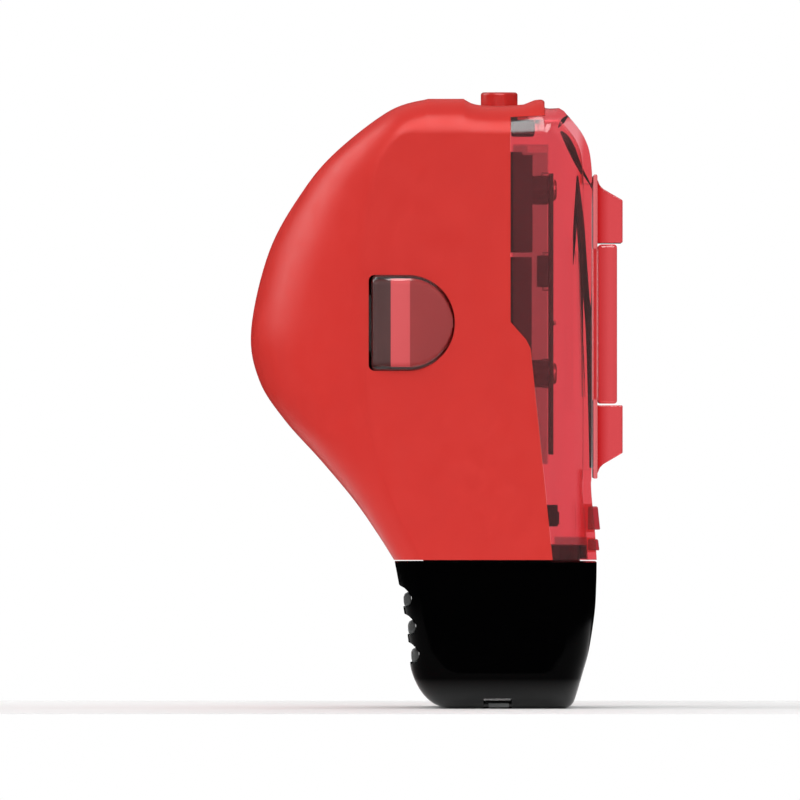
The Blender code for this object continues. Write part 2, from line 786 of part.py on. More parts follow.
def leaning_plate(name, back_x, thickness, half_width, low, high, finish):
    """A plate that leans with the display: back_x is its back face at the opening's top."""
    outline = []
    for z, step in ((high, 0.0), (high, thickness), (low, thickness), (low, 0.0)):
        outline.append((back_x + step + DISPLAY_LEAN * (OPENING_Z[1] - z), z))
    return side_prism(name, outline, -half_width, half_width, finish)


def display_stack():
    """From the back forwards: light guide, glass and black mask."""
    fit = 0.3 * MM
    low, high = LENS_Z - WINDOW_HALF_HEIGHT + fit, LENS_Z + WINDOW_HALF_HEIGHT - fit
    half_width = WINDOW_HALF_WIDTH - fit
    overlap = 1.6 * MM
    box(
        "lcd_backlight",
        (7.1 * MM, -half_width - overlap, low - overlap),
        (8.05 * MM, half_width + overlap, high + overlap),
        "white_plastic",
    )
    glass_back = MASK_BACK_X - SOLDER_GAP - LCD_THICKNESS
    leaning_plate("lcd_panel", glass_back, LCD_THICKNESS, half_width, low, high, "lcd_glass")
    mask_half = OPENING_HALF_WIDTH - fit
    mask_low, mask_high = OPENING_Z[0] + fit, OPENING_Z[1] - fit
    mask = leaning_plate(
        "display_mask", MASK_BACK_X, MASK_THICKNESS, mask_half, mask_low, mask_high, "dark_plastic"
    )
    border = 1.1 * MM
    opening = box(
        "mask_window",
        (8 * MM, border - half_width, low + border),
        (11 * MM, half_width - border, high - border),
    )
    cut(mask, opening)


def smoke_frame():
    """A smoke-tinted bridge that clasps the blocks behind the board, open below."""
    inner_y, outer_y = 17.35 * MM, 18.35 * MM
    low_z, high_z = 30.4 * MM, 70.2 * MM
    back_x, front_x = 0.6 * MM, 4.95 * MM
    frame = box("smoke_frame", (back_x, -outer_y, low_z), (front_x, outer_y, high_z), "smoke_clear")
    under = box("frame_under", (-1 * MM, -inner_y, 29 * MM), (6 * MM, inner_y, high_z - 1 * MM))
    clear_of_switch = box("frame_switch_gap", (-1 * MM, -5 * MM, 65 * MM), (2.4 * MM, 5 * MM, 72 * MM))
    return cut(frame, under, clear_of_switch)


def display_bezel():
    """A thin plate on the front face with a wedge-shaped guard above and below the lens."""
    plate = box(
        "display_bezel",
        (BEZEL_BACK_X, -BEZEL_HALF_WIDTH, DISPLAY_Z - BEZEL_HALF_HEIGHT),
        (BEZEL_FACE_X, BEZEL_HALF_WIDTH, DISPLAY_Z + BEZEL_HALF_HEIGHT),
        "clear_red",
    )
    root_x = BEZEL_FACE_X - 0.3 * MM
    for name, sign in (("upper_guard", 1), ("lower_guard", -1)):
        outline = [
            (root_x, LENS_Z + sign * GUARD_INNER),
            (GUARD_FACE_X, LENS_Z + sign * GUARD_INNER),
            (GUARD_FACE_X, DISPLAY_Z + sign * 15.75 * MM),
            (BEZEL_FACE_X + 0.5 * MM, DISPLAY_Z + sign * 17.3 * MM),
            (root_x, DISPLAY_Z + sign * 17.9 * MM),
        ]
        join(plate, side_prism(name, outline, -LENS_HALF_WIDTH, LENS_HALF_WIDTH))
    window = box(
        "bezel_window",
        (9 * MM, -WINDOW_HALF_WIDTH, LENS_Z - WINDOW_HALF_HEIGHT),
        (12 * MM, WINDOW_HALF_WIDTH, LENS_Z + WINDOW_HALF_HEIGHT),
    )
    return cut(plate, window)


def display_lens():
    """A thick clear block on the bezel, with a boss that plugs into the window."""
    edge = 0.35 * MM
    back_x = BEZEL_FACE_X + 0.1 * MM
    rings = []
    for x, inset in ((back_x, 0.0), (LENS_FACE_X - edge, 0.0), (LENS_FACE_X, edge)):
        y = LENS_HALF_WIDTH - inset
        z = LENS_HALF_HEIGHT - inset
        corners = ((y, z), (-y, z), (-y, -z), (y, -z))
        rings.append([(x, corner_y, LENS_Z + corner_z) for corner_y, corner_z in corners])
    lens = loft("display_lens", rings, "clear_red")
    y = WINDOW_HALF_WIDTH - FIT
    z = WINDOW_HALF_HEIGHT - FIT
    boss = box("lens_boss", (LENS_BOSS_X, -y, LENS_Z - z), (12 * MM, y, LENS_Z + z))
    return join(lens, boss)


def indicator_lens():
    outline = in_metres([(9.2, 21.0), (11.25, 21.0), (11.42, 19.6), (9.2, 19.6)])
    return side_prism("indicator_lens", outline, -2.0 * MM, 2.0 * MM, "clear_red")


# ---- sound, sensing and side switches ----


def buzzer_chamber():
    back_x, front_x = -9 * MM, 3 * MM
    low_z, high_z = 56.9 * MM, 68.9 * MM
    half = 17 * MM
    chamber = box("buzzer_chamber", (back_x, -half, low_z), (front_x, half, high_z), "dark_plastic")
    inner = half - 1.5 * MM
    hollow = box("chamber_hollow", (back_x - 1 * MM, -inner, 58.3 * MM), (1.5 * MM, inner, 66.0 * MM))
    pocket = box("switch_pocket", (-4.4 * MM, -3.2 * MM, 66.6 * MM), (2.2 * MM, 3.2 * MM, 71 * MM))
    cut(chamber, hollow, pocket)
    return board_boss(chamber, "high", 2.5 * MM)


def buzzer():
    profile = [
        (-4.5 * MM, 0.8 * MM),
        (-4.5 * MM, 3.2 * MM),
        (-3.9 * MM, 3.6 * MM),
        (1.2 * MM, 3.6 * MM),
    ]
    return lathe("buzzer", profile, (0, 0, 62.15 * MM), "X", "dark_plastic", 24)


def piezo_disc():
    """The vibration sensor, on the deck where the chassis meets the back shell."""
    profile = [(0, 6.0 * MM), (0.25 * MM, 6.0 * MM), (0.25 * MM, 4.2 * MM), (0.5 * MM, 4.2 * MM)]
    return lathe("piezo_disc", profile, (-2 * MM, 0, DECK_Z[1] + 0.1 * MM), "Z", "brass", 28)


def switch_carrier():
    low_z, high_z = 36 * MM, 56.2 * MM
    reach = 17 * MM
    carrier = box(
        "switch_carrier", (0.4 * MM, -reach, low_z), (2.9 * MM, reach, high_z), "dark_plastic"
    )
    half = 14.3 * MM
    join(carrier, box("carrier_box", (-18.4 * MM, -half, 40 * MM), (1 * MM, half, high_z)))
    inner = half - 1.5 * MM
    cut(carrier, box("carrier_hollow", (-19 * MM, -inner, 41.5 * MM), (-0.5 * MM, inner, 54.7 * MM)))
    ear = 1.2 * MM
    for side, sign in (("left", 1), ("right", -1)):
        for level, z in (("low", 41.2 * MM), ("high", 53.6 * MM)):
            ends = sorted((sign * (half - 0.5 * MM), sign * 19.0 * MM))
            low = (PIN_X - ear, ends[0], z)
            high = (PIN_X + ear, ends[1], z + ear)
            join(carrier, box(f"{side}_ear_{level}", low, high))
        bore = rod(f"{side}_ear_bore", (PIN_X, sign * PIN_Y, 0), "Z", PIN_BORE, 38 * MM, 57 * MM)
        cut(carrier, bore)
    return board_boss(carrier, "low", 2.5 * MM)


def side_switch(side, sign):
    ends = sorted((sign * 14.5 * MM, sign * 16.1 * MM))
    low = (-16 * MM, ends[0], PADDLE_Z - 2.5 * MM)
    high = (-11 * MM, ends[1], PADDLE_Z + 2.5 * MM)
    body = box(f"{side}_switch", low, high, "dark_plastic")
    reach = sorted((sign * 16.0 * MM, sign * 17.1 * MM))
    plunger = rod(f"{side}_plunger", (-13.5 * MM, 0, PADDLE_Z), "Y", 1.1 * MM, reach[0], reach[1])
    return join(body, plunger)


# ---- moving pieces ----


def paddle_height(x):
    """How far the paddle's face stands proud of the flank, at one place along its length."""
    for (x0, h0), (x1, h1) in zip(PADDLE_RISE, PADDLE_RISE[1:]):
        if x <= x1 * MM:
            share = (x - x0 * MM) / ((x1 - x0) * MM)
            return (h0 + (h1 - h0) * share) * MM
    return PADDLE_RISE[-1][1] * MM


def side_paddle(side, sign):
    """A D-shaped key: steep at the back, ramping down to the flank at its hinge end."""
    edge = 0.5 * MM
    corner = 0.7 * MM
    stations = [(PADDLE_BACK_X, PADDLE_HALF_HEIGHT - corner)]
    stations.append((PADDLE_RISE[1][0] * MM, PADDLE_HALF_HEIGHT - 0.2 * corner))
    stations += [(x * MM, PADDLE_HALF_HEIGHT) for x, _ in PADDLE_RISE[2:5]]
    for degrees in PADDLE_ARC:
        angle = math.radians(degrees)
        x = PADDLE_ROUND_X + (PADDLE_FRONT_X - PADDLE_ROUND_X) * math.cos(angle)
        stations.append((x, PADDLE_HALF_HEIGHT * math.sin(angle)))
    rings = []
    for x, half in stations:
        top = HALF_WIDTH + paddle_height(x)
        shoulder = 0.35 * edge * min(1, half / MM)
        upper = [
            (top, half * 0.84),
            (top - 0.15 * edge, half - shoulder),
            (top - 0.6 * edge, half),
            (PADDLE_INNER_Y, half),
        ]
        section = [(y, -z) for y, z in reversed(upper)] + upper
        rings.append([(x, sign * y, PADDLE_Z + z) for y, z in section])
    paddle = loft(f"{side}_paddle", rings, "clear_red")
    clear_of_ears = 5.3 * MM
    lip = sorted((sign * PADDLE_INNER_Y, sign * (PADDLE_INNER_Y + 0.65 * MM)))
    join(
        paddle,
        box(
            f"{side}_stop_lip",
            (PADDLE_BACK_X - 0.8 * MM, lip[0], PADDLE_Z - 3.5 * MM),
            (PADDLE_BACK_X + 1.5 * MM, lip[1], PADDLE_Z + 3.5 * MM),
        ),
    )
    arm = sorted((sign * 17.5 * MM, sign * 18.6 * MM))
    join(
        paddle,
        box(
            f"{side}_hinge_arm",
            (-9.5 * MM, arm[0], PADDLE_Z - 4.5 * MM),
            (PIN_X, arm[1], PADDLE_Z + 4.5 * MM),
        ),
    )
    where = (PIN_X, sign * PIN_Y, PADDLE_Z)
    barrel = rod(f"{side}_barrel", where, "Z", BARREL_RADIUS, -clear_of_ears, clear_of_ears, segments=16)
    join(paddle, barrel)
    cut(paddle, rod(f"{side}_barrel_bore", where, "Z", PIN_BORE, -8 * MM, 8 * MM))
    hang(f"{side}_paddle_axis", where, paddle)
    return rod(f"{side}_hinge_pin", where, "Z", PIN_RADIUS, -6.9 * MM, 6.9 * MM, "steel")


def power_button():
    edge = 0.35 * MM
    profile = [
        (70.9 * MM, PLUNGER_RADIUS),
        (72.0 * MM, PLUNGER_RADIUS),
        (72.0 * MM, FLANGE_RADIUS),
        (72.9 * MM, FLANGE_RADIUS),
        (72.9 * MM, BUTTON_RADIUS),
        (BUTTON_TOP_Z - edge, BUTTON_RADIUS),
        (BUTTON_TOP_Z - 0.3 * edge, BUTTON_RADIUS - 0.3 * edge),
        (BUTTON_TOP_Z, BUTTON_RADIUS - edge),
    ]
    button = lathe("power_button", profile, (BUTTON_X, 0, 0), "Z", "red_shell", 28)
    hang("power_button_axis", (BUTTON_X, 0, BUTTON_TOP_Z), button)


def power_switch():
    half = 2.9 * MM
    switch = box(
        "power_switch",
        (BUTTON_X - half, -half, 66.9 * MM),
        (BUTTON_X + half, half, SWITCH_TOP_Z),
        "dark_plastic",
    )
    join(switch, rod("power_plunger", (BUTTON_X, 0, 0), "Z", PLUNGER_RADIUS, 69 * MM, 69.9 * MM))
    wire = 0.16 * MM
    centre = (BUTTON_X, 0, 0)
    start, end = SWITCH_TOP_Z + 0.3 * MM, 71.7 * MM
    coil("power_spring", centre, "Z", 3.5, (SPRING_RADIUS, SPRING_RADIUS), start, end, wire, "steel")


def mode_key():
    outline = in_metres([(8.2, 25.1), (11.2, 25.1), (11.5, 22.2), (8.2, 22.2)])
    key = side_prism("mode_key", outline, -3.9 * MM, 3.9 * MM, "clear_red")
    join(key, box("key_flange", (8.0 * MM, -4.8 * MM, 21.5 * MM), (8.45 * MM, 4.8 * MM, 25.8 * MM)))
    join(key, rod("key_stem", (0, 0, MODE_KEY_Z), "X", 0.9 * MM, 6.8 * MM, 8.2 * MM, segments=16))
    hang("mode_key_axis", (11.2 * MM, 0, MODE_KEY_Z), key)


def main():
    clear_scene()
    rear_shell()
    front_shell()
    chassis()
    battery_cell()
    battery_contacts()
    main_board()
    board_parts()
    key_board()
    display_stack()
    smoke_frame()
    display_bezel()
    display_lens()
    indicator_lens()
    buzzer_chamber()
    buzzer()
    piezo_disc()
    switch_carrier()
    for side, sign in (("left", 1), ("right", -1)):
        side_switch(side, sign)
        side_paddle(side, sign)
    power_button()
    power_switch()
    mode_key()
    screws()
    hang("base_axis", (0, 0, SEAM_Z), base_cap(), foot_plate(), *grip_bars())


main()
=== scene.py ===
"""Looks of the clip-on tuner: fine shells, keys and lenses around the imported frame, with
procedural materials, soft studio light and a camera square to the side.

The pieces follow the same design as the solids they stand for, with finer steps and rounded
edges. Everything is in metres; outlines are in millimetres and say so.
"""

import math

import bmesh
import bpy
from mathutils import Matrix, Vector


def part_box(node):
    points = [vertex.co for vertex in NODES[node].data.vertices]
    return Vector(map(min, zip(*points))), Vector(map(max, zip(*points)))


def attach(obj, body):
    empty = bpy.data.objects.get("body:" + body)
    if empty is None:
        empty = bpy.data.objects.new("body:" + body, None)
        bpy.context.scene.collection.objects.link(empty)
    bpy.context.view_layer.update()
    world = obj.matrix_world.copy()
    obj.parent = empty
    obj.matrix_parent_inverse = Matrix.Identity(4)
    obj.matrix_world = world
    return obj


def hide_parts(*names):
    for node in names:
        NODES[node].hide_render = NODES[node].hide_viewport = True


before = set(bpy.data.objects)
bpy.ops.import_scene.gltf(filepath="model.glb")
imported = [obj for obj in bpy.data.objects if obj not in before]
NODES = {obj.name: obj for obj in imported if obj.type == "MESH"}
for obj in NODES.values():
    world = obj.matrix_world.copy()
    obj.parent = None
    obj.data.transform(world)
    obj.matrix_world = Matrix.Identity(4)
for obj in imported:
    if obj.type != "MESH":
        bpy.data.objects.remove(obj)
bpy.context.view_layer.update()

MM = 0.001

# ---- the design, as the frame gives it ----

REAR_LOW, REAR_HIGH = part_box("rear_shell")
HALF_WIDTH = REAR_HIGH.y
SEAM_Z = REAR_LOW.z
REAR_WALL = 1.8 * MM
FRONT_WALL = 1.1 * MM
BASE_WALL = 1.6 * MM
REAR_ROOF_Z = 71.9 * MM
FRONT_ROOF_Z = 73.3 * MM
DISPLAY_Z = sum(corner.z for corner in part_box("display_bezel")) / 2
OPENING_HALF_WIDTH = 13.6 * MM
OPENING_HALF_HEIGHT = 17.85 * MM
DISPLAY_LEAN = 0.0356

# Rim knots of the pillow shapes: silhouette x, z, then side face x, z, then rounding depth, in mm
BACK_RIM = (
    (-10.0, 75.9, -10.4, 71.4, 4.5),
    (-14.75, 74.45, -13.2, 71.2, 5.5),
    (-21.35, 69.45, -15.9, 67.9, 9.0),
    (-25.6, 64.5, -17.0, 63.4, 13.0),
    (-29.8, 57.05, -17.5, 56.45, 17.0),
    (-32.1, 47.2, -17.6, 47.2, 18.5),
    (-31.1, 40.9, -17.5, 41.0, 18.0),
    (-27.9, 35.9, -17.2, 36.5, 15.0),
    (-23.4, 30.9, -16.2, 31.5, 11.0),
    (-19.2, 25.9, -14.4, 26.2, 7.5),
    (-16.2, 21.6, -12.2, 21.8, 5.0),
    (-14.25, 18.5, -10.6, 18.5, 4.2),
)
FRONT_RIM = (
    (11.0, 18.5, 5.6, 18.5, 5.4),
    (10.75, 22.5, 5.6, 22.5, 5.4),
    (10.3, 27.5, 5.5, 27.5, 5.4),
    (10.4, 32.0, 5.5, 32.0, 5.4),
    (10.4, 60.0, 5.1, 60.0, 5.4),
    (10.35, 67.5, 4.9, 66.0, 5.4),
    (9.4, 71.2, 4.8, 69.5, 5.4),
    (6.9, 74.4, 4.7, 71.1, 5.0),
)
STEP_RIM = (
    (6.3, 74.75, 4.68, 71.3, 4.6),
    (4.6, 74.75, 4.6, 71.4, 4.5),
    (4.5, 75.5, 4.5, 71.4, 4.5),
    (4.1, 75.8, 4.1, 71.4, 4.5),
    (3.3, 75.75, 3.3, 71.4, 4.5),
)
TROUGH_RIM = (
    (1.9, 75.2, 1.9, 71.4, 4.5),
    (-1.1, 75.0, -1.1, 71.4, 4.5),
    (-4.1, 75.2, -4.1, 71.4, 4.5),
    (-5.6, 75.9, -5.6, 71.4, 4.5),
)
BASE_BACK_RIM = (
    (-14.15, 18.2, -10.6, 18.2, 4.2),
    (-13.6, 15.3, -10.2, 15.3, 4.2),
    (-12.9, 11.5, -9.8, 11.5, 4.2),
    (-12.35, 7.5, -9.2, 8.2, 4.2),
    (-12.1, 4.8, -8.7, 6.6, 4.2),
    (-11.0, 2.3, -7.8, 5.3, 4.3),
    (-9.3, 0.6, -6.8, 4.7, 4.4),
    (-7.2, 0.0, -5.6, 4.5, 4.5),
)
BASE_FRONT_RIM = (
    (7.0, 0.0, 4.2, 4.5, 4.5),
    (7.8, 0.4, 4.9, 4.8, 4.6),
    (8.35, 1.4, 5.2, 5.2, 4.8),
    (9.3, 4.6, 5.5, 6.4, 5.2),
    (10.05, 7.4, 5.55, 8.2, 5.4),
    (10.75, 12.0, 5.6, 12.2, 5.4),
    (10.95, 15.5, 5.6, 15.5, 5.4),
    (11.0, 18.2, 5.6, 18.2, 5.4),
)


# ---- node-tree helpers ----


class Surface:
    """A material under construction: a Principled shader and the nodes that feed it."""

    def __init__(self, name):
        self.material = bpy.data.materials.new(name)
        self.material.use_nodes = True
        self.tree = self.material.node_tree
        self.shader = self.tree.nodes["Principled BSDF"]
        self.place = self.tree.nodes.new("ShaderNodeTexCoord").outputs["Object"]

    def set(self, **values):
        for key, value in values.items():
            self.shader.inputs[key.replace("_", " ")].default_value = value
        return self

    def feed(self, key, output):
        self.tree.links.new(output, self.shader.inputs[key])
        return self

    def node(self, kind, **inputs):
        made = self.tree.nodes.new(kind)
        for key, value in inputs.items():
            self.put(made.inputs[key.replace("_", " ")], value)
        return made

    def put(self, socket, value):
        if isinstance(value, bpy.types.NodeSocket):
            self.tree.links.new(value, socket)
        else:
            socket.default_value = value

    def noise(self, scale, detail=2.0, roughness=0.5, vector=None):
        made = self.node("ShaderNodeTexNoise", Vector=vector or self.place, Scale=scale)
        made.inputs["Detail"].default_value = detail
        made.inputs["Roughness"].default_value = roughness
        return made.outputs["Fac"]

    def stretched(self, x, y, z):
        made = self.node("ShaderNodeMapping", Vector=self.place, Scale=(x, y, z))
        return made.outputs["Vector"]

    def spread(self, value, low, high, from_low=0.3, from_high=0.7):
        """Maps a value's usual span onto another."""
        made = self.node("ShaderNodeMapRange", Value=value)
        made.inputs["From Min"].default_value = from_low
        made.inputs["From Max"].default_value = from_high
        made.inputs["To Min"].default_value = low
        made.inputs["To Max"].default_value = high
        return made.outputs["Result"]

    def blend(self, share, first, second):
        made = self.tree.nodes.new("ShaderNodeMix")
        made.data_type = "RGBA"
        self.put(made.inputs[0], share)
        self.put(made.inputs[6], first)
        self.put(made.inputs[7], second)
        return made.outputs[2]

    def math(self, operation, *values):
        made = self.tree.nodes.new("ShaderNodeMath")
        made.operation = operation
        for socket, value in zip(made.inputs, values):
            self.put(socket, value)
        return made.outputs[0]

    def along(self, axis):
        return self.node("ShaderNodeSeparateXYZ", Vector=self.place).outputs[axis]

    def bump(self, height, strength, distance):
        made = self.node("ShaderNodeBump", Height=height, Strength=strength, Distance=distance)
        return made.outputs["Normal"]


def rgb(red, green, blue):
    return (red, green, blue, 1.0)


def moulded(name, light, dark, roughness, grain, **values):
    """Moulded plastic: slight mottling, a fine spark-eroded grain and uneven gloss."""
    made = Surface(name)
    mottle = made.noise(160.0, 3.0)
    made.feed("Base Color", made.blend(made.spread(mottle, 0.0, 1.0), rgb(*dark), rgb(*light)))
    handled = made.noise(420.0, 4.0, 0.6)
    made.feed("Roughness", made.spread(handled, roughness - 0.05, roughness + 0.06))
    fine = made.noise(5200.0, 2.0)
    made.feed("Normal", made.bump(fine, grain, 0.00004))
    return made.set(**values).material


def clear(name, tint, roughness, ripple=0.05, thick=(), worn=None, **values):
    """Tinted see-through plastic with faint flow ripples and a few handling marks.

    thick lists where the colour goes twice as deep. On the front shell that is where the wall is solid;
    on the lens and the guards it is their back part, and there the deeper colour is painted shade. Each
    entry gives the axis, the place where that starts, the place where it is complete and, if an opening
    interrupts it, the middle and half the height of that, in mm. worn is the stretch along X, in mm, over
    which the polish fades towards the front.
    """
    made = Surface(name)
    flow = made.noise(90.0, 2.0, 0.4, made.stretched(1.0, 1.0, 0.35))
    marks = made.noise(900.0, 3.0, 0.7)
    made.feed("Roughness", made.spread(marks, roughness, roughness + 0.05))
    made.feed("Normal", made.bump(flow, ripple, 0.0002))
    shade = made.blend(made.spread(flow, 0.0, 1.0), rgb(*tint), rgb(*(0.985 * value for value in tint)))
    for axis, start, end, *opening in thick:
        share = made.spread(made.along(axis), 0.0, 1.0, start * MM, end * MM)
        if opening:
            middle, half = opening
            away = made.math("ABSOLUTE", made.math("SUBTRACT", made.along("Z"), middle * MM))
            outside = made.spread(away, 0.0, 1.0, (half - 0.05) * MM, (half + 0.05) * MM)
            share = made.math("MULTIPLY", share, outside)
        shade = made.blend(share, shade, rgb(*(value * value for value in tint)))
    made.feed("Base Color", shade)
    made.set(Transmission_Weight=1.0, IOR=1.003, Coat_Weight=1.0, Coat_IOR=1.5, Coat_Roughness=0.06)
    if worn:
        start, end = worn
        made.feed("Coat Weight", made.spread(made.along("X"), 1.0, 0.1, start * MM, end * MM))
    return made.set(**values).material


def metal(name, colour, roughness, brushed=(1.0, 1.0, 1.0)):
    made = Surface(name)
    lines = made.noise(1800.0, 3.0, 0.6, made.stretched(*brushed))
    made.feed("Roughness", made.spread(lines, roughness - 0.08, roughness + 0.12))
    made.feed("Normal", made.bump(lines, 0.08, 0.00003))
    tarnish = made.noise(300.0, 2.0)
    dull = rgb(*(0.8 * value for value in colour))
    made.feed("Base Color", made.blend(made.spread(tarnish, 0.0, 1.0), rgb(*colour), dull))
    return made.set(Metallic=1.0).material


def polished_black():
    """Black gloss, buffed along its lowest edge and duller above."""
    made = Surface("gloss_black")
    black, deeper = rgb(0.0006, 0.0006, 0.0007), rgb(0.0004, 0.0004, 0.0005)
    made.feed("Base Color", made.blend(made.noise(160.0, 3.0), black, deeper))
    made.feed("Roughness", made.spread(made.noise(420.0, 4.0, 0.6), 0.08, 0.15))
    made.feed("Specular IOR Level", made.spread(made.along("Z"), 0.6, 0.03, 1.4 * MM, 3.7 * MM))
    made.feed("Normal", made.bump(made.noise(5200.0), 0.01, 0.00004))
    return made.material


def solder_mask():
    """Green board with copper runs just showing through the mask."""
    made = Surface("board_mask")
    runs = made.node("ShaderNodeTexBrick", Vector=made.stretched(1.0, 1.0, 1.0), Scale=420.0)
    runs.inputs["Color1"].default_value = rgb(0.018, 0.075, 0.04)
    runs.inputs["Color2"].default_value = rgb(0.022, 0.09, 0.048)
    runs.inputs["Mortar"].default_value = rgb(0.05, 0.14, 0.07)
    runs.inputs["Mortar Size"].default_value = 0.03
    made.feed("Base Color", runs.outputs["Color"])
    made.feed("Roughness", made.spread(made.noise(700.0), 0.3, 0.42))
    made.feed("Normal", made.bump(runs.outputs["Fac"], 0.2, 0.00003))
    return made.material


RED_SHELL = moulded(
    "red_shell", (0.68, 0.034, 0.027), (0.66, 0.032, 0.026), 0.33, 0.08, Specular_IOR_Level=0.28
)
BUTTON_RED = moulded("button_red", (0.5, 0.021, 0.017), (0.47, 0.02, 0.016), 0.3, 0.05)
CLEAR_SHELL = clear(
    "clear_red_shell",
    (0.85, 0.235, 0.265),
    0.015,
    thick=(("Z", 73.0, 73.6), ("X", 8.6, 9.4, DISPLAY_Z / MM, OPENING_HALF_HEIGHT / MM)),
    worn=(5.0, 7.6),
    Sheen_Weight=0.052,
    Sheen_Roughness=0.9,
)
CLEAR_PLATE = clear("clear_red_plate", (0.78, 0.17, 0.18), 0.02)
CLEAR_BOSS = clear("clear_red_boss", (0.97, 0.85, 0.86), 0.02)
# The guards and the lens deepen in colour towards their backs, beside the plate: painted shade.
CLEAR_GUARD = clear("clear_red_guard", (0.72, 0.075, 0.085), 0.02, thick=(("X", 12.6, 11.2),))
CLEAR_LENS = clear("clear_red_lens", (0.71, 0.078, 0.086), 0.015, 0.02, thick=(("X", 12.6, 10.8),))
CLEAR_KEY = clear("clear_red_key", (0.42, 0.035, 0.045), 0.05)
KEY_SKIN = clear("key_skin", (0.93, 0.8, 0.8), 0.08, Coat_Roughness=0.12)
LIGHT_GUIDE = clear("light_guide", (0.97, 0.93, 0.93), 0.02)
SMOKE = clear("smoke_frame", (0.66, 0.8, 0.78), 0.05)
# Paddle inserts: the crest's lighter red is a painted highlight, and the back's near-black red is painted
# shade.
KEY_CREST_HIGHLIGHT = moulded("key_crest_painted_highlight", (0.64, 0.085, 0.095), (0.6, 0.08, 0.088), 0.5, 0.05)
KEY_WEB = moulded("key_web", (0.31, 0.03, 0.031), (0.28, 0.027, 0.028), 0.5, 0.05)
KEY_BACK_SHADE = moulded("key_back_painted_shade", (0.06, 0.02, 0.019), (0.045, 0.015, 0.014), 0.5, 0.05)
GLOSS_BLACK = polished_black()
DARK_FRAME = moulded(
    "dark_frame", (0.03, 0.028, 0.027), (0.022, 0.02, 0.02), 0.55, 0.25, Specular_IOR_Level=0.2
)
CHIP_BLACK = moulded(
    "chip_black", (0.027, 0.027, 0.028), (0.02, 0.02, 0.021), 0.5, 0.3, Specular_IOR_Level=0.2
)
GREY_RUBBER = moulded("grey_rubber", (0.16, 0.165, 0.165), (0.12, 0.125, 0.125), 0.55, 0.3)
TAB_GREY = moulded("tab_grey", (0.2, 0.205, 0.205), (0.16, 0.165, 0.165), 0.4, 0.1)
GUIDE_WHITE = moulded("guide_white", (0.78, 0.77, 0.74), (0.7, 0.69, 0.66), 0.35, 0.05)
GLASS = clear("display_glass", (0.9, 0.9, 0.88), 0.01, 0.01)
LCD_FACE = moulded("lcd_face", (0.30, 0.34, 0.28), (0.27, 0.31, 0.25), 0.2, 0.02)
LCD_INK = moulded("lcd_ink", (0.012, 0.013, 0.013), (0.01, 0.011, 0.011), 0.3, 0.02)
CERAMIC = moulded("ceramic", (0.42, 0.30, 0.2), (0.35, 0.25, 0.17), 0.45, 0.1)
SLEEVE = moulded("cell_sleeve", (0.05, 0.09, 0.2), (0.04, 0.075, 0.17), 0.28, 0.05)
STEEL = metal("plated_steel", (0.62, 0.61, 0.6), 0.28)
TINNED = metal("tinned", (0.72, 0.71, 0.69), 0.35)
CAN = metal("drawn_can", (0.55, 0.56, 0.58), 0.32, (1.0, 0.05, 1.0))
BRASS = metal("spring_brass", (0.72, 0.5, 0.22), 0.3)
BOARD = solder_mask()


# ---- mesh helpers ----


def new_piece(name, mesh, material):
    obj = bpy.data.objects.new(name, mesh)
    bpy.context.scene.collection.objects.link(obj)
    mesh.materials.clear()
    mesh.materials.append(material)
    return obj


def solid_mesh(name, points, faces):
    mesh = bpy.data.meshes.new(name)
    mesh.from_pydata([tuple(p) for p in points], [], faces)
    shape = bmesh.new()
    shape.from_mesh(mesh)
    bmesh.ops.recalc_face_normals(shape, faces=shape.faces)
    shape.to_mesh(mesh)
    shape.free()
    return mesh


def loft(name, rings, material=None):
    """A closed solid through rings of equally many points, capped at both ends."""
    count = len(rings[0])
    points = [point for ring in rings for point in ring]
    faces = [tuple(range(count)), tuple(range(len(points) - count, len(points)))]
    for row in range(len(rings) - 1):
        for k in range(count):
            after = (k + 1) % count
            low, high = row * count, (row + 1) * count
            faces.append((low + k, low + after, high + after, high + k))
    return new_piece(name, solid_mesh(name, points, faces), material)


def metres(outline, x=0.0, z=0.0):
    """An outline given in mm, moved by x and z, in metres."""
    return [((px + x) * MM, (pz + z) * MM) for px, pz in outline]


def box(name, low, high, material=None):
    rings = [
        [(low[0], low[1], z), (high[0], low[1], z), (high[0], high[1], z), (low[0], high[1], z)]
        for z in (low[2], high[2])
    ]
    return loft(name, rings, material)


def side_prism(name, outline, low_y, high_y, material=None):
    """An outline in the side view, in metres, drawn through from low_y to high_y."""
    return loft(name, [[(x, y, z) for x, z in outline] for y in (low_y, high_y)], material)


def lathe(name, profile, centre, axis, material=None, segments=64):
    """A solid turned about an axis: profile holds (distance along the axis, radius)."""
    along = {"X": (1, 2, 0), "Y": (2, 0, 1), "Z": (0, 1, 2)}[axis]
    rings = []
    for distance, radius in profile:
        ring = []
        for k in range(segments):
            angle = 2 * math.pi * k / segments
            point = [0.0, 0.0, 0.0]
            point[along[0]] = centre[along[0]] + radius * math.cos(angle)
            point[along[1]] = centre[along[1]] + radius * math.sin(angle)
            point[along[2]] = centre[along[2]] + distance
            ring.append(tuple(point))
        rings.append(ring)
    return loft(name, rings, material)


def boolean(obj, other, operation):
    modifier = obj.modifiers.new(operation.lower(), "BOOLEAN")
    modifier.object = other
    modifier.operation = operation
    modifier.solver = "EXACT"


def settle(obj):
    """Applies an object's modifiers to its mesh."""
    graph = bpy.context.evaluated_depsgraph_get()
    made = bpy.data.meshes.new_from_object(obj.evaluated_get(graph))
    obj.modifiers.clear()
    obj.data = made
    return obj


def carve(obj, cuts=(), joins=(), keeps=()):
    """Joins, intersects and cuts in one go, then removes the shapes that did it."""
    for others, operation in ((joins, "UNION"), (keeps, "INTERSECT"), (cuts, "DIFFERENCE")):
        for other in others:
            boolean(obj, other, operation)
    settle(obj)
    for other in (*cuts, *joins, *keeps):
        bpy.data.objects.remove(other, do_unlink=True)
    return obj


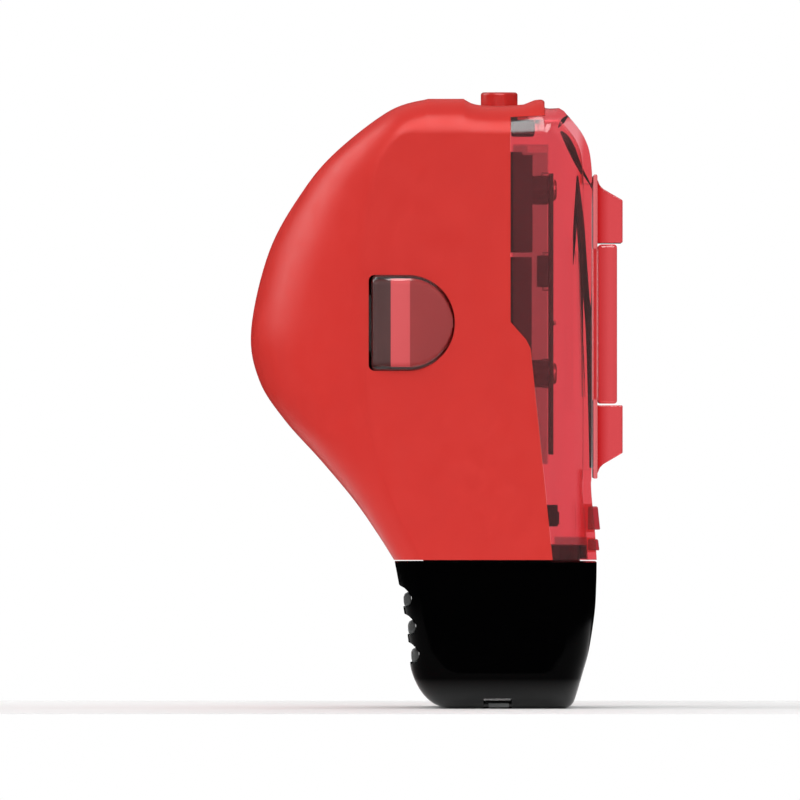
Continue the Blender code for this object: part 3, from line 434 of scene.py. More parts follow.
def soften(obj, width, segments=3, angle=35.0):
    """Rounds the edges and shades the rest smooth."""
    modifier = obj.modifiers.new("rounded", "BEVEL")
    modifier.width = width
    modifier.segments = segments
    modifier.limit_method = "ANGLE"
    modifier.angle_limit = math.radians(angle)
    settle(obj)
    return smooth(obj, 60.0)


def smooth(obj, angle=35.0):
    """Smooth shading that keeps flat faces flat beside their rounded edges."""
    obj.data.shade_smooth()
    obj.data.set_sharp_from_angle(angle=math.radians(angle))
    weighted = obj.modifiers.new("weighted", "WEIGHTED_NORMAL")
    weighted.keep_sharp = True
    weighted.weight = 100
    return settle(obj)


def place(obj, body, *nodes, slot=None):
    """Makes a piece ride on a body and stand for its CAD nodes; slot is not used."""
    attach(obj, body)
    if nodes:
        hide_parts(*nodes)
    return obj


# ---- the pillow shape of the shells and the base ----

ARC_STEPS = 12
CREASE_ANGLE = math.radians(24)


def through_knots(knots, steps):
    """Points of a Catmull-Rom curve through knots given in mm, in metres."""
    padded = [knots[0], *knots, knots[-1]]
    found = []
    for a, b, c, d in zip(padded, padded[1:], padded[2:], padded[3:]):
        for k in range(steps):
            t = k / steps
            found.append(tuple(MM * catmull_rom(t, *values) for values in zip(a, b, c, d)))
    found.append(tuple(MM * value for value in knots[-1]))
    return found


def catmull_rom(t, p, q, r, s):
    return q + 0.5 * t * (r - p + t * (2 * p - 5 * q + 4 * r - s + t * (3 * (q - r) + s - p)))


def body_rim():
    rising = through_knots(BACK_RIM, 8)[::-1]
    trough = through_knots(TROUGH_RIM, 4)[::-1]
    step = through_knots(STEP_RIM, 3)[::-1]
    falling = through_knots(FRONT_RIM, 6)[::-1]
    return rising + trough + step + falling


def base_rim():
    falling = through_knots(BASE_FRONT_RIM, 6)[::-1]
    rising = through_knots(BASE_BACK_RIM, 6)[::-1]
    return falling + rising


def inset_rim(rim, wall):
    """The rim of the hollow inside: the silhouette moves in by the wall, square to itself."""
    last = len(rim) - 1
    found = []
    for k, (x, z, side_x, side_z, depth) in enumerate(rim):
        run = Vector(rim[min(k + 1, last)][:2]) - Vector(rim[max(k - 1, 0)][:2])
        run.normalize()
        found.append((x + wall * run.y, z - wall * run.x, side_x, side_z, depth - wall))
    return found


def pillow(name, rim, half_width, material=None, steps=ARC_STEPS):
    """A solid with flat flanks whose edge rounds over, by each rim point's own depth."""
    rings = []
    for x, z, side_x, side_z, depth in rim:
        share = min(max((depth - 6 * MM) / (9 * MM), 0.0), 1.0)
        crease = CREASE_ANGLE * share
        half = []
        for k in range(steps + 1):
            angle = crease + (math.pi / 2 - crease) * k / steps
            out = (math.sin(angle) - math.sin(crease)) / (1 - math.sin(crease))
            y = half_width - depth + depth * math.cos(angle) / math.cos(crease)
            half.append((side_x + (x - side_x) * out, y, side_z + (z - side_z) * out))
        rings.append(half + [(px, -py, pz) for px, py, pz in reversed(half)])
    columns, count = len(rings[0]), len(rings)
    points = [point for ring in rings for point in ring]
    faces = []
    for i in range(count):
        after = (i + 1) % count
        for k in range(columns - 1):
            a, b = i * columns + k, after * columns + k
            faces.append((a, b, b + 1, a + 1))
    for column in (0, columns - 1):
        faces.append(tuple(i * columns + column for i in range(count)))
    return new_piece(name, solid_mesh(name, points, faces), material)


def body_hollow(wall, roof_z):
    found = []
    for x, z, side_x, side_z, depth in inset_rim(body_rim(), wall):
        if x > 0:
            z = min(z, roof_z)
            side_z = min(side_z, roof_z - 1.2 * MM)
        found.append((x, z, side_x, side_z, depth))
    for end in (0, -1):
        x, _, side_x, _, depth = found[end]
        found[end] = (x, SEAM_Z - 1.5 * MM, side_x, SEAM_Z - 1.5 * MM, depth)
    return pillow("body_hollow", found, HALF_WIDTH - wall)


def base_hollow():
    found = []
    for x, z, side_x, side_z, depth in inset_rim(base_rim(), BASE_WALL):
        found.append((x, max(z, 2.4 * MM), side_x, max(side_z, 4.5 * MM), depth))
    for end in (0, -1):
        x, _, side_x, _, depth = found[end]
        found[end] = (x, SEAM_Z + 1.5 * MM, side_x, SEAM_Z + 1.5 * MM, depth)
    return pillow("base_hollow", found, HALF_WIDTH - BASE_WALL)


# ---- stage ----


def light(name, where, size, power, target=(0.0, 0.0, 0.04)):
    lamp = bpy.data.lights.new(name, "AREA")
    lamp.shape = "RECTANGLE"
    lamp.size, lamp.size_y = size
    lamp.energy = power
    obj = bpy.data.objects.new(name, lamp)
    obj.location = where
    obj.rotation_euler = (Vector(target) - Vector(where)).to_track_quat("-Z", "Y").to_euler()
    obj.visible_glossy = False
    bpy.context.scene.collection.objects.link(obj)


def camera_and_view():
    scene = bpy.context.scene
    scene.view_settings.view_transform = "Standard"
    camera = bpy.data.cameras.new("camera")
    camera.lens = 1500
    camera.sensor_width = 36
    camera.clip_start, camera.clip_end = 0.05, 20
    obj = bpy.data.objects.new("camera", camera)
    frame_width = 0.1
    distance = frame_width * camera.lens / camera.sensor_width
    obj.location = (-13.5 * MM, -distance, 38.4 * MM)
    obj.rotation_euler = (math.pi / 2, 0, 0)
    scene.collection.objects.link(obj)
    scene.camera = obj


def light_tent():
    """White to look at and to look through, even fill for matte surfaces, and for gloss a
    dark horizon under a roof with two soft panels."""
    world = bpy.data.worlds.new("light_tent")
    bpy.context.scene.world = world
    world.use_nodes = True
    tree = world.node_tree
    tree.nodes.clear()

    def background(strength):
        made = tree.nodes.new("ShaderNodeBackground")
        made.inputs["Color"].default_value = rgb(1, 1, 1)
        if isinstance(strength, float):
            made.inputs["Strength"].default_value = strength
        else:
            tree.links.new(strength, made.inputs["Strength"])
        return made.outputs[0]

    def choose(share, first, second):
        made = tree.nodes.new("ShaderNodeMixShader")
        tree.links.new(share, made.inputs[0])
        tree.links.new(first, made.inputs[1])
        tree.links.new(second, made.inputs[2])
        return made.outputs[0]

    path = tree.nodes.new("ShaderNodeLightPath").outputs
    through = tree.nodes.new("ShaderNodeMath")
    through.operation = "MAXIMUM"
    tree.links.new(path["Is Camera Ray"], through.inputs[0])
    tree.links.new(path["Is Transmission Ray"], through.inputs[1])

    direction = tree.nodes.new("ShaderNodeTexCoord").outputs["Generated"]
    split = tree.nodes.new("ShaderNodeSeparateXYZ")
    tree.links.new(direction, split.inputs[0])

    def ramp(value, start, end, top):
        made = tree.nodes.new("ShaderNodeMapRange")
        made.interpolation_type = "SMOOTHSTEP"
        made.inputs["From Min"].default_value = start
        made.inputs["From Max"].default_value = end
        made.inputs["To Max"].default_value = top
        tree.links.new(value, made.inputs["Value"])
        return made.outputs["Result"]

    def panel(aim, edge, core, top):
        """A soft round panel: the cosines of its outer and inner reach, and its strength."""
        made = tree.nodes.new("ShaderNodeVectorMath")
        made.operation = "DOT_PRODUCT"
        tree.links.new(direction, made.inputs[0])
        made.inputs[1].default_value = Vector(aim).normalized()
        return ramp(made.outputs["Value"], edge, core, top)

    def add(first, second):
        made = tree.nodes.new("ShaderNodeMath")
        tree.links.new(first, made.inputs[0])
        tree.links.new(second, made.inputs[1])
        return made.outputs[0]

    roof = ramp(split.outputs["Z"], 0.15, 0.85, 0.45)
    front_panel = panel((0.0, -0.78, 0.62), 0.87, 0.95, 8.0)
    side_panel = panel((-0.88, 0.25, 0.45), 0.87, 0.97, 3.0)
    gloss = add(roof, add(front_panel, side_panel))
    seen = choose(path["Is Glossy Ray"], background(0.6), background(gloss))
    shade = choose(through.outputs[0], seen, background(1.0))
    out = tree.nodes.new("ShaderNodeOutputWorld")
    tree.links.new(shade, out.inputs["Surface"])


def studio():
    camera_and_view()
    light_tent()
    reach, drop = 0.09, 0.02 * MM
    corners = [(x * reach, y * reach, -drop) for x, y in ((-1, -1), (1, -1), (1, 1), (-1, 1))]
    floor = bpy.data.meshes.new("floor")
    floor.from_pydata(corners, [], [(0, 1, 2, 3)])
    paper = moulded("floor_paper", (0.86, 0.86, 0.86), (0.84, 0.84, 0.84), 0.85, 0.02)
    new_piece("floor", floor, paper)
    light("front_softbox", (-0.15, -0.92, 0.52), (0.9, 0.6), 3.4)
    light("back_softbox", (0.15, 0.92, 0.52), (0.9, 0.6), 4.0)
    light("left_softbox", (-0.85, -0.1, 0.5), (0.8, 0.45), 2.5)
    light("right_softbox", (0.85, 0.1, 0.62), (0.8, 0.45), 1.8)


# ---- pieces: casing ----

PARTING = ((4.5, 73.8), (0.25, 73.6), (0.25, 48.1), (2.2, 45.9), (2.75, 44.8), (5.5, 18.4))
GRIP_SLOTS = ((-12.4, 14.45), (-11.85, 10.96), (-11.45, 7.48))
GRIP_SLOT_OUTLINE = (
    (-2.6, 2.6),
    (-1.1, 0.85),
    (-0.55, 0.55),
    (0.0, 0.0),
    (0.33, -0.5),
    (0.36, -1.05),
    (0.15, -1.55),
    (-0.25, -1.85),
    (-2.0, -2.2),
)
GRIP_BAR_OUTLINE = (
    (-0.07, -0.1),
    (0.29, -0.52),
    (0.32, -1.05),
    (0.12, -1.49),
    (-0.26, -1.77),
    (-0.56, -1.6),
    (-0.64, -1.2),
    (-0.66, -0.75),
    (-0.5, -0.35),
)
KEY_CAP = ((9.9, 25.1), (11.2, 25.1), (11.5, 22.2), (9.9, 22.2))
LAMP_CAP = ((9.9, 21.0), (11.25, 21.0), (11.42, 19.6), (9.9, 19.6))
BEYOND_Y = 25 * MM
BUTTON_LOW, BUTTON_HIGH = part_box("power_button")
BUTTON_X = (BUTTON_LOW.x + BUTTON_HIGH.x) / 2
BUTTON_RADIUS = 2.3 * MM
FLANGE_RADIUS = (BUTTON_HIGH.x - BUTTON_LOW.x) / 2
LENS_LOW, LENS_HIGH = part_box("display_lens")
LENS_Z = (LENS_LOW.z + LENS_HIGH.z) / 2
WINDOW_HALF_WIDTH, WINDOW_HALF_HEIGHT = 12.2 * MM, 9.4 * MM

PADDLE_BACK_X, PADDLE_ROUND_X, PADDLE_FRONT_X = -17.1 * MM, -12.4 * MM, -6.75 * MM
PADDLE_INNER_Y = 18.1 * MM
HINGE_X, HINGE_Y = -5 * MM, 18 * MM
PADDLE_LOW, PADDLE_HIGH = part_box("left_paddle")
PADDLE_Z = (PADDLE_LOW.z + PADDLE_HIGH.z) / 2
PADDLE_HALF_HEIGHT = (PADDLE_HIGH.z - PADDLE_LOW.z) / 2


def rod(name, where, axis, radius, start, end):
    return lathe(name, [(start, radius), (end, radius)], where, axis, segments=48)


def parting_region(front):
    line = metres(PARTING)
    if front:
        gap = 0.04 * MM
        line = [(x + gap, z - (gap if k < 2 else 0.0)) for k, (x, z) in enumerate(line)]
    far_x = 40 * MM if front else -45 * MM
    high, low, reach = 90 * MM, 10 * MM, 30 * MM
    outline = [(far_x, high), (line[0][0], high), *line, (line[-1][0], low), (far_x, low)]
    return side_prism("region", outline, -reach, reach)


def paddle_stations():
    """Places along the paddle and its half height there: square behind, elliptical in front."""
    corner = 0.7 * MM
    found = []
    for k in range(7):
        angle = math.pi / 2 * k / 6
        x = PADDLE_BACK_X + corner * (1 - math.cos(angle))
        found.append((x, PADDLE_HALF_HEIGHT - corner * (1 - math.sin(angle))))
    straight = PADDLE_ROUND_X - PADDLE_BACK_X - corner
    found += [(PADDLE_BACK_X + corner + straight * k / 10, PADDLE_HALF_HEIGHT) for k in range(1, 10)]
    reach = PADDLE_FRONT_X - PADDLE_ROUND_X
    for k in range(25):
        angle = math.radians(90 - 86 * k / 24)
        found.append((PADDLE_ROUND_X + reach * math.cos(angle), PADDLE_HALF_HEIGHT * math.sin(angle)))
    return found


def paddle_half_height(x):
    """Half the paddle's height at a place, without its small back corners."""
    share = max(x - PADDLE_ROUND_X, 0.0) / (PADDLE_FRONT_X - PADDLE_ROUND_X)
    return PADDLE_HALF_HEIGHT * math.sqrt(1 - share * share)


def paddle_window():
    """The opening round the key: wider behind, where the key swings past its edge."""
    margin, back_margin = 0.07 * MM, 0.3 * MM
    spread_z = (PADDLE_HALF_HEIGHT + margin) / PADDLE_HALF_HEIGHT
    reach = PADDLE_FRONT_X - PADDLE_BACK_X
    spread_x = (reach + margin + back_margin) / reach
    upper = []
    for x, half in paddle_stations():
        upper.append((PADDLE_BACK_X - back_margin + (x - PADDLE_BACK_X) * spread_x, half * spread_z))
    outline = [(x, PADDLE_Z + z) for x, z in upper] + [(x, PADDLE_Z - z) for x, z in reversed(upper)]
    return side_prism("paddle_window", outline, -BEYOND_Y, BEYOND_Y)


def rear_shell():
    shell = pillow("rear_shell_fine", body_rim(), HALF_WIDTH, RED_SHELL)
    inside_z, seat_z, outside_z = 70 * MM, 73.2 * MM, 80 * MM
    hole = rod("hole", (BUTTON_X, 0, 0), "Z", BUTTON_RADIUS + 0.2 * MM, inside_z, outside_z)
    seat = rod("seat", (BUTTON_X, 0, 0), "Z", FLANGE_RADIUS + 0.4 * MM, inside_z, seat_z)
    cuts = [body_hollow(REAR_WALL, REAR_ROOF_Z), paddle_window(), hole, seat]
    carve(shell, keeps=[parting_region(False)], cuts=cuts)
    place(smooth(shell), "housing", "rear_shell", slot="red_shell")


def front_shell():
    shell = pillow("front_shell_fine", body_rim(), HALF_WIDTH, CLEAR_SHELL)
    inside_x, outside_x = 7 * MM, 15 * MM
    cuts = [body_hollow(FRONT_WALL, FRONT_ROOF_Z)]
    for name, half_y, low_z, high_z in (
        ("window", OPENING_HALF_WIDTH, DISPLAY_Z - OPENING_HALF_HEIGHT, DISPLAY_Z + OPENING_HALF_HEIGHT),
        ("key_hole", 4.2 * MM, 21.9 * MM, 25.4 * MM),
        ("lamp_hole", 2.2 * MM, 19.4 * MM, 21.2 * MM),
    ):
        cuts.append(box(name, (inside_x, -half_y, low_z), (outside_x, half_y, high_z)))
    cuts.append(rod("notch", (BUTTON_X, 0, 0), "Z", FLANGE_RADIUS + 0.5 * MM, 69 * MM, 76 * MM))
    carve(shell, keeps=[parting_region(True)], cuts=cuts)
    place(smooth(shell), "housing", "front_shell", slot="clear_red")


def base_cap():
    cap = pillow("base_cap_fine", base_rim(), HALF_WIDTH, GLOSS_BLACK)
    cuts = [base_hollow()]
    for k, (x, z) in enumerate(GRIP_SLOTS):
        outline = metres(GRIP_SLOT_OUTLINE, x, z)
        cuts.append(side_prism(f"slot_{k}", outline, -BEYOND_Y, BEYOND_Y))
    below_z, pocket_z = -1 * MM, 1.25 * MM
    for name, back_x, front_x, half_y in (
        ("pocket", -5.6 * MM, 5.6 * MM, 15.2 * MM),
        ("tab_notch", -3.1 * MM, 0.4 * MM, BEYOND_Y),
    ):
        cuts.append(box(name, (back_x, -half_y, below_z), (front_x, half_y, pocket_z)))
    carve(cap, cuts=cuts)
    place(smooth(cap), "base", "base_cap", slot="gloss_black")


def grip_bars():
    """Soft bars with rounded long edges and ends."""
    half_y = 15.5 * MM
    for k, (x, z) in enumerate(GRIP_SLOTS):
        outline = metres(GRIP_BAR_OUTLINE, x, z)
        bar = side_prism(f"grip_bar_{k + 1}_fine", outline, -half_y, half_y, GREY_RUBBER)
        soften(bar, 0.05 * MM, 2, 25.0)
        place(bar, "base", f"grip_bar_{k + 1}", slot="grey_rubber")


def foot_plate():
    low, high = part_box("foot_plate")
    half_y = 14.9 * MM
    plate = box("foot_plate_fine", (low.x, -half_y, low.z), (high.x, half_y, high.z), GLOSS_BLACK)
    soften(plate, 0.15 * MM)
    place(plate, "base", "foot_plate", slot="gloss_black")
    for side, sign in (("left", 1), ("right", -1)):
        ends = sorted((sign * (half_y - 0.4 * MM), sign * high.y))
        corners = (-2.5 * MM, ends[0], 0.12 * MM), (0.1 * MM, ends[1], 0.7 * MM)
        tab = box(f"foot_tab_{side}", *corners, TAB_GREY)
        soften(tab, 0.1 * MM)
        place(tab, "base", "foot_plate", slot="gloss_black")


def bezel():
    low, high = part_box("display_bezel")
    face_x = 11.1 * MM
    plate = box("display_plate_fine", low, (face_x, high.y, high.z), CLEAR_PLATE)
    window_low, window_high = LENS_Z - WINDOW_HALF_HEIGHT, LENS_Z + WINDOW_HALF_HEIGHT
    cuts = [
        box("hole", (9 * MM, -WINDOW_HALF_WIDTH, window_low), (12 * MM, WINDOW_HALF_WIDTH, window_high))
    ]
    carve(plate, cuts=cuts)
    soften(plate, 0.15 * MM)
    place(plate, "housing", "display_bezel", slot="clear_red")
    reach = LENS_HIGH.y
    for name, sign in (("upper", 1), ("lower", -1)):
        inner = LENS_Z + sign * 10.13 * MM
        outline = [
            (face_x + 0.02 * MM, inner),
            (high.x, inner),
            (high.x, DISPLAY_Z + sign * 15.75 * MM),
            (face_x + 0.75 * MM, DISPLAY_Z + sign * 17.15 * MM),
            (face_x + 0.3 * MM, DISPLAY_Z + sign * 17.6 * MM),
            (face_x + 0.02 * MM, DISPLAY_Z + sign * 18.3 * MM),
        ]
        guard = side_prism(f"{name}_guard_fine", outline, -reach, reach, CLEAR_GUARD)
        soften(guard, 0.35 * MM, 4, 20.0)
        place(guard, "housing", "display_bezel", slot="clear_red")


def lens():
    low, high = LENS_LOW, LENS_HIGH
    back_x = 11.2 * MM
    block = box("display_lens_fine", (back_x, low.y, low.z), high, CLEAR_LENS)
    place(soften(block, 0.4 * MM, 4), "housing", "display_lens", slot="clear_red")
    y, z = WINDOW_HALF_WIDTH - 0.2 * MM, WINDOW_HALF_HEIGHT - 0.2 * MM
    ends = (low.x, -y, LENS_Z - z), (back_x - 0.02 * MM, y, LENS_Z + z)
    boss = box("lens_boss", *ends, CLEAR_BOSS)
    place(soften(boss, 0.1 * MM), "housing", "display_lens", slot="clear_red")


def front_key():
    """The key's dark cap in front of its clear stem and flange, and the lamp's lens below."""
    cap = side_prism("mode_key_cap", metres(KEY_CAP), -3.9 * MM, 3.9 * MM, CLEAR_KEY)
    place(soften(cap, 0.15 * MM), "front_key", "mode_key", slot="clear_red")
    ends = (8.2 * MM, -3.7 * MM, 22.4 * MM), (9.88 * MM, 3.7 * MM, 24.9 * MM)
    stem = box("mode_key_stem", *ends, CLEAR_BOSS)
    flange = box("flange", (8.0 * MM, -4.8 * MM, 21.5 * MM), (8.45 * MM, 4.8 * MM, 25.8 * MM))
    carve(stem, joins=[flange])
    place(soften(stem, 0.08 * MM, 2), "front_key", "mode_key", slot="clear_red")
    lamp = side_prism("indicator_lens_fine", metres(LAMP_CAP), -2.0 * MM, 2.0 * MM, CLEAR_KEY)
    place(soften(lamp, 0.15 * MM), "housing", "indicator_lens", slot="clear_red")
    ends = (9.2 * MM, -1.9 * MM, 19.8 * MM), (9.88 * MM, 1.9 * MM, 20.9 * MM)
    guide = box("lamp_guide", *ends, CLEAR_BOSS)
    place(soften(guide, 0.08 * MM, 2), "housing", "indicator_lens", slot="clear_red")


def power_button():
    """The button's stem, its flange under the roof, and its dished top."""
    edge = 0.35 * MM
    stem_radius = 0.8 * MM
    flange_z = (72.0 * MM, 72.9 * MM)
    low, top = BUTTON_LOW.z, BUTTON_HIGH.z
    profile = [
        (low, stem_radius),
        (flange_z[0], stem_radius),
        (flange_z[0], FLANGE_RADIUS),
        (flange_z[1], FLANGE_RADIUS),
        (flange_z[1], BUTTON_RADIUS),
    ]
    for k in range(7):
        angle = math.pi / 2 * k / 6
        radius = BUTTON_RADIUS - edge * (1 - math.cos(angle))
        profile.append((top - edge * (1 - math.sin(angle)), radius))
    profile += [(top, 1.4 * MM), (top - 0.08 * MM, 0.9 * MM), (top - 0.1 * MM, 0.2 * MM)]
    button = lathe("power_button_fine", profile, (BUTTON_X, 0, 0), "Z", BUTTON_RED, 72)
    place(smooth(button), "power_key", "power_button", slot="red_shell")


# ---- pieces: side keys ----

PADDLE_RISE = (
    (-17.1, -0.1),
    (-16.9, 0.5),
    (-16.3, 1.05),
    (-15.3, 1.45),
    (-14.0, 1.6),
    (-12.3, 1.5),
    (-10.4, 1.02),
    (-8.5, 0.52),
    (-6.75, 0.05),
)


def paddle_rise(x):
    """How far the paddle stands proud of the flank, by a smooth curve through its knots."""
    knots = [PADDLE_RISE[0], *PADDLE_RISE, PADDLE_RISE[-1]]
    place_x = min(max(x / MM, PADDLE_RISE[0][0]), PADDLE_RISE[-1][0])
    for a, b, c, d in zip(knots, knots[1:], knots[2:], knots[3:]):
        if place_x <= c[0]:
            return MM * catmull_rom((place_x - b[0]) / (c[0] - b[0]), a[1], b[1], c[1], d[1])
    return MM * PADDLE_RISE[-1][1]


def paddle_loft(name, sign, stations, inset, inner_y, material):
    """A solid under the paddle's face, with a rounded upper edge."""
    steps = 6
    rings = []
    for x, half in stations:
        top = HALF_WIDTH + paddle_rise(x) - inset
        half = max(half - inset, 0.1 * MM)
        edge = min(0.75 * MM, half * 0.8)
        upper = [(top, 0.0)]
        for k in range(steps + 1):
            angle = math.pi / 2 * k / steps
            upper.append((top - edge * (1 - math.cos(angle)), half - edge * (1 - math.sin(angle))))
        upper.append((inner_y, half))
        section = [(y, -z) for y, z in reversed(upper[1:])] + upper
        rings.append([(x, sign * y, PADDLE_Z + z) for y, z in section])
    return loft(name, rings, material)


def side_keys():
    """Clear skins over the matte inserts: the crest insert is lighter for a painted highlight along the
    ridge, and the back insert is dark for painted shade on the steep back wall; the web carries the hinge
    barrel.
    """
    stations = paddle_stations()
    inner_y = PADDLE_INNER_Y + 0.2 * MM
    for side, sign in (("left", 1), ("right", -1)):
        body, node = f"{side}_key", f"{side}_paddle"
        skin = paddle_loft(f"{node}_skin", sign, stations, 0.0, PADDLE_INNER_Y, KEY_SKIN)
        lip = sorted((sign * PADDLE_INNER_Y, sign * (PADDLE_INNER_Y + 0.65 * MM)))
        low = (PADDLE_BACK_X - 0.8 * MM, lip[0], PADDLE_Z - 3.5 * MM)
        carve(skin, joins=[box("lip", low, (PADDLE_BACK_X + 1.5 * MM, lip[1], PADDLE_Z + 3.5 * MM))])
        place(smooth(skin, 50.0), body, node, slot="clear_red")
        # The crest insert carries a painted highlight and the back insert carries painted shade.
        for part, start_x, end_x, inset, material in (
            ("back", -16.95, -14.65, 0.45, KEY_BACK_SHADE),
            ("crest", -14.65, -12.25, 0.4, KEY_CREST_HIGHLIGHT),
            ("slope", -12.25, -6.9, 0.35, KEY_WEB),
        ):
            places = [(start_x + (end_x - start_x) * k / 24) * MM for k in range(25)]
            span = [(x, paddle_half_height(x)) for x in places]
            insert = paddle_loft(f"{node}_{part}", sign, span, inset * MM, inner_y, material)
            place(smooth(insert, 50.0), body, node, slot="clear_red")
        place(smooth(hinge_web(side, sign)), body, node, slot="clear_red")


def hinge_web(side, sign):
    """The arm and the barrel that turn on the pin."""
    half = 4.5 * MM
    pin = (HINGE_X, sign * HINGE_Y, PADDLE_Z)
    arm = sorted((sign * 17.5 * MM, sign * 18.6 * MM))
    low, high = (-9.5 * MM, arm[0], PADDLE_Z - half), (HINGE_X, arm[1], PADDLE_Z + half)
    web = box(f"{side}_paddle_web", low, high, KEY_WEB)
    barrel = rod("barrel", pin, "Z", 0.95 * MM, -5.3 * MM, 5.3 * MM)
    bore = rod("bore", pin, "Z", 0.58 * MM, -8 * MM, 8 * MM)
    return carve(web, joins=[barrel], cuts=[bore])


# ---- pieces: electronics ----


BOX_FACES = ((0, 1, 3, 2), (4, 6, 7, 5), (0, 4, 5, 1), (2, 3, 7, 6), (0, 2, 6, 4), (1, 5, 7, 3))


def joined(name, boxes, material, rounding=None):
    """Many small boxes as one piece."""
    points, faces = [], []
    for low, high in boxes:
        start = len(points)
        xs, ys, zs = zip(low, high)
        points += [(x, y, z) for x in xs for y in ys for z in zs]
        for face in BOX_FACES:
            faces.append(tuple(start + k for k in face))
    piece = new_piece(name, solid_mesh(name, points, faces), material)
    return soften(piece, rounding, 2) if rounding else piece


def chip_legs():
    """Tinned legs down both long edges of each chip, bent down to the board."""
    board_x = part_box("main_board")[0].x
    pitch, thick = 0.65 * MM, 0.12 * MM
    reach, bend = 0.45 * MM, 0.33 * MM
    legs = []
    for chip in ("tuner_chip", "driver_chip", "memory_chip"):
        low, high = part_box(chip)
        count = int((high.y - low.y - 0.6 * MM) / pitch) + 1
        start = (low.y + high.y) / 2 - pitch * (count - 1) / 2
        middle_x = (low.x + high.x) / 2
        for k in range(count):
            y = start + pitch * k
            for edge_z, out in ((high.z, 1), (low.z, -1)):
                ends = sorted((edge_z - 0.05 * MM * out, edge_z + reach * out))
                legs.append(((middle_x, y - thick, ends[0]), (middle_x + thick, y + thick, ends[1])))
                down = sorted((edge_z + bend * out, edge_z + reach * out))
                legs.append(((middle_x, y - thick, down[0]), (board_x - 0.02 * MM, y + thick, down[1])))
    place(joined("chip_legs", legs, TINNED), "housing", slot="steel")


def chip_parts():
    """Ceramic parts with tinned ends, set out in rows on both faces of the board."""
    back_x, front_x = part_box("main_board")[0].x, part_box("main_board")[1].x
    bodies, ends = [], []
    rows = (
        (back_x, -0.55, 65.4, (-11.6, -9.2, 8.4, 10.8)),
        (back_x, -0.5, 63.8, (-10.4, -8, 9.6)),
        (back_x, -0.5, 55.4, (6.2, 8.6, 11)),
        (back_x, -0.5, 53.6, (6.2, 8.6, 13.4)),
        (back_x, -0.5, 42.4, (-11.6, -9.2, -6.8, 9.4, 11.8)),
        (back_x, -0.5, 41, (-11.6, -9.2, -6.8, 9.4)),
        (front_x, 0.35, 48, (-12.6, -10.2, -7.8, 3.6, 6)),
    )
    length, width, cap = 1.0 * MM, 0.5 * MM, 0.25 * MM
    for face_x, rise, z, places in rows:
        xs = sorted((face_x + math.copysign(0.02, rise) * MM, face_x + rise * MM))
        for y in places:
            y, middle = y * MM, z * MM
            low_z, high_z = middle - width / 2, middle + width / 2
            bodies.append(((xs[0], y - length / 2 + cap, low_z), (xs[1], y + length / 2 - cap, high_z)))
            for out in (-1, 1):
                span = sorted((y + out * (length / 2 - cap), y + out * length / 2))
                ends.append(((xs[0], span[0], low_z), (xs[1], span[1], high_z)))
    place(joined("chip_capacitors", bodies, CERAMIC, 0.05 * MM), "housing", slot="white_plastic")
    place(joined("capacitor_ends", ends, TINNED, 0.05 * MM), "housing", slot="steel")


def deck_collars():
    """A smoke-tinted collar on each side of the key, over a dark one, where the shell seats."""
    front_x = 9.75 * MM
    inner_y, outer_y = 6 * MM, 15 * MM
    for side, sign in (("left", 1), ("right", -1)):
        ends = sorted((sign * inner_y, sign * outer_y))
        for name, back_x, low_z, high_z, material, slot in (
            ("collar", 8.95, 18.6, 20.3, DARK_FRAME, "dark_plastic"),
            ("smoke", 5.8, 20.35, 21.3, SMOKE, "smoke_clear"),
        ):
            low, high = (back_x * MM, ends[0], low_z * MM), (front_x, ends[1], high_z * MM)
            place(box(f"{name}_{side}", low, high, material), "housing", slot=slot)


def sliver(name, knots, half_width=12 * MM):
    """A dark strip inside the front, along knots given as x, z and half its width in mm."""
    line = through_knots(knots, 8)
    sides = ([], [])
    for k, (x, z, half) in enumerate(line):
        before, after = line[max(k - 1, 0)], line[min(k + 1, len(line) - 1)]
        run = Vector((after[0] - before[0], after[1] - before[1])).normalized()
        for side, sign in zip(sides, (-1, 1)):
            side.append((x - sign * half * run.y, z + sign * half * run.x))
    return side_prism(name, sides[0] + sides[1][::-1], -half_width, half_width, DARK_FRAME)


def roof_foam_and_shade_strips():
    """Foam under the roof, and thin dark strips inside the clear front corner that are painted shade for
    the dark lines its rounding shows.
    """
    foam = box("roof_foam", (0.45 * MM, -15 * MM, 71.4 * MM), (3.3 * MM, 15 * MM, 73.2 * MM), DARK_FRAME)
    place(soften(foam, 0.3 * MM), "housing", slot="dark_plastic")
    # Each strip is a dark sheet standing for painted shade in the clear corner.
    strips = {
        "corner_painted_shade": (
            (6.6, 72.0, 0.02),
            (7.25, 71.15, 0.3),
            (7.95, 69.8, 0.38),
            (8.6, 68.3, 0.28),
            (9.3, 66.9, 0.13),
            (9.95, 65.7, 0.08),
            (10.35, 64.7, 0.03),
        ),
        "roof_painted_shade": ((6.35, 72.5, 0.02), (6.7, 73.1, 0.24), (7.1, 73.6, 0.15), (7.3, 73.85, 0.02)),
        "glass_edge_painted_shade": ((8.66, 66.2, 0.02), (8.42, 60.5, 0.16), (8.1, 55.3, 0.03)),
    }
    for name, knots in strips.items():
        place(smooth(sliver(name, knots)), "housing", slot="dark_plastic")


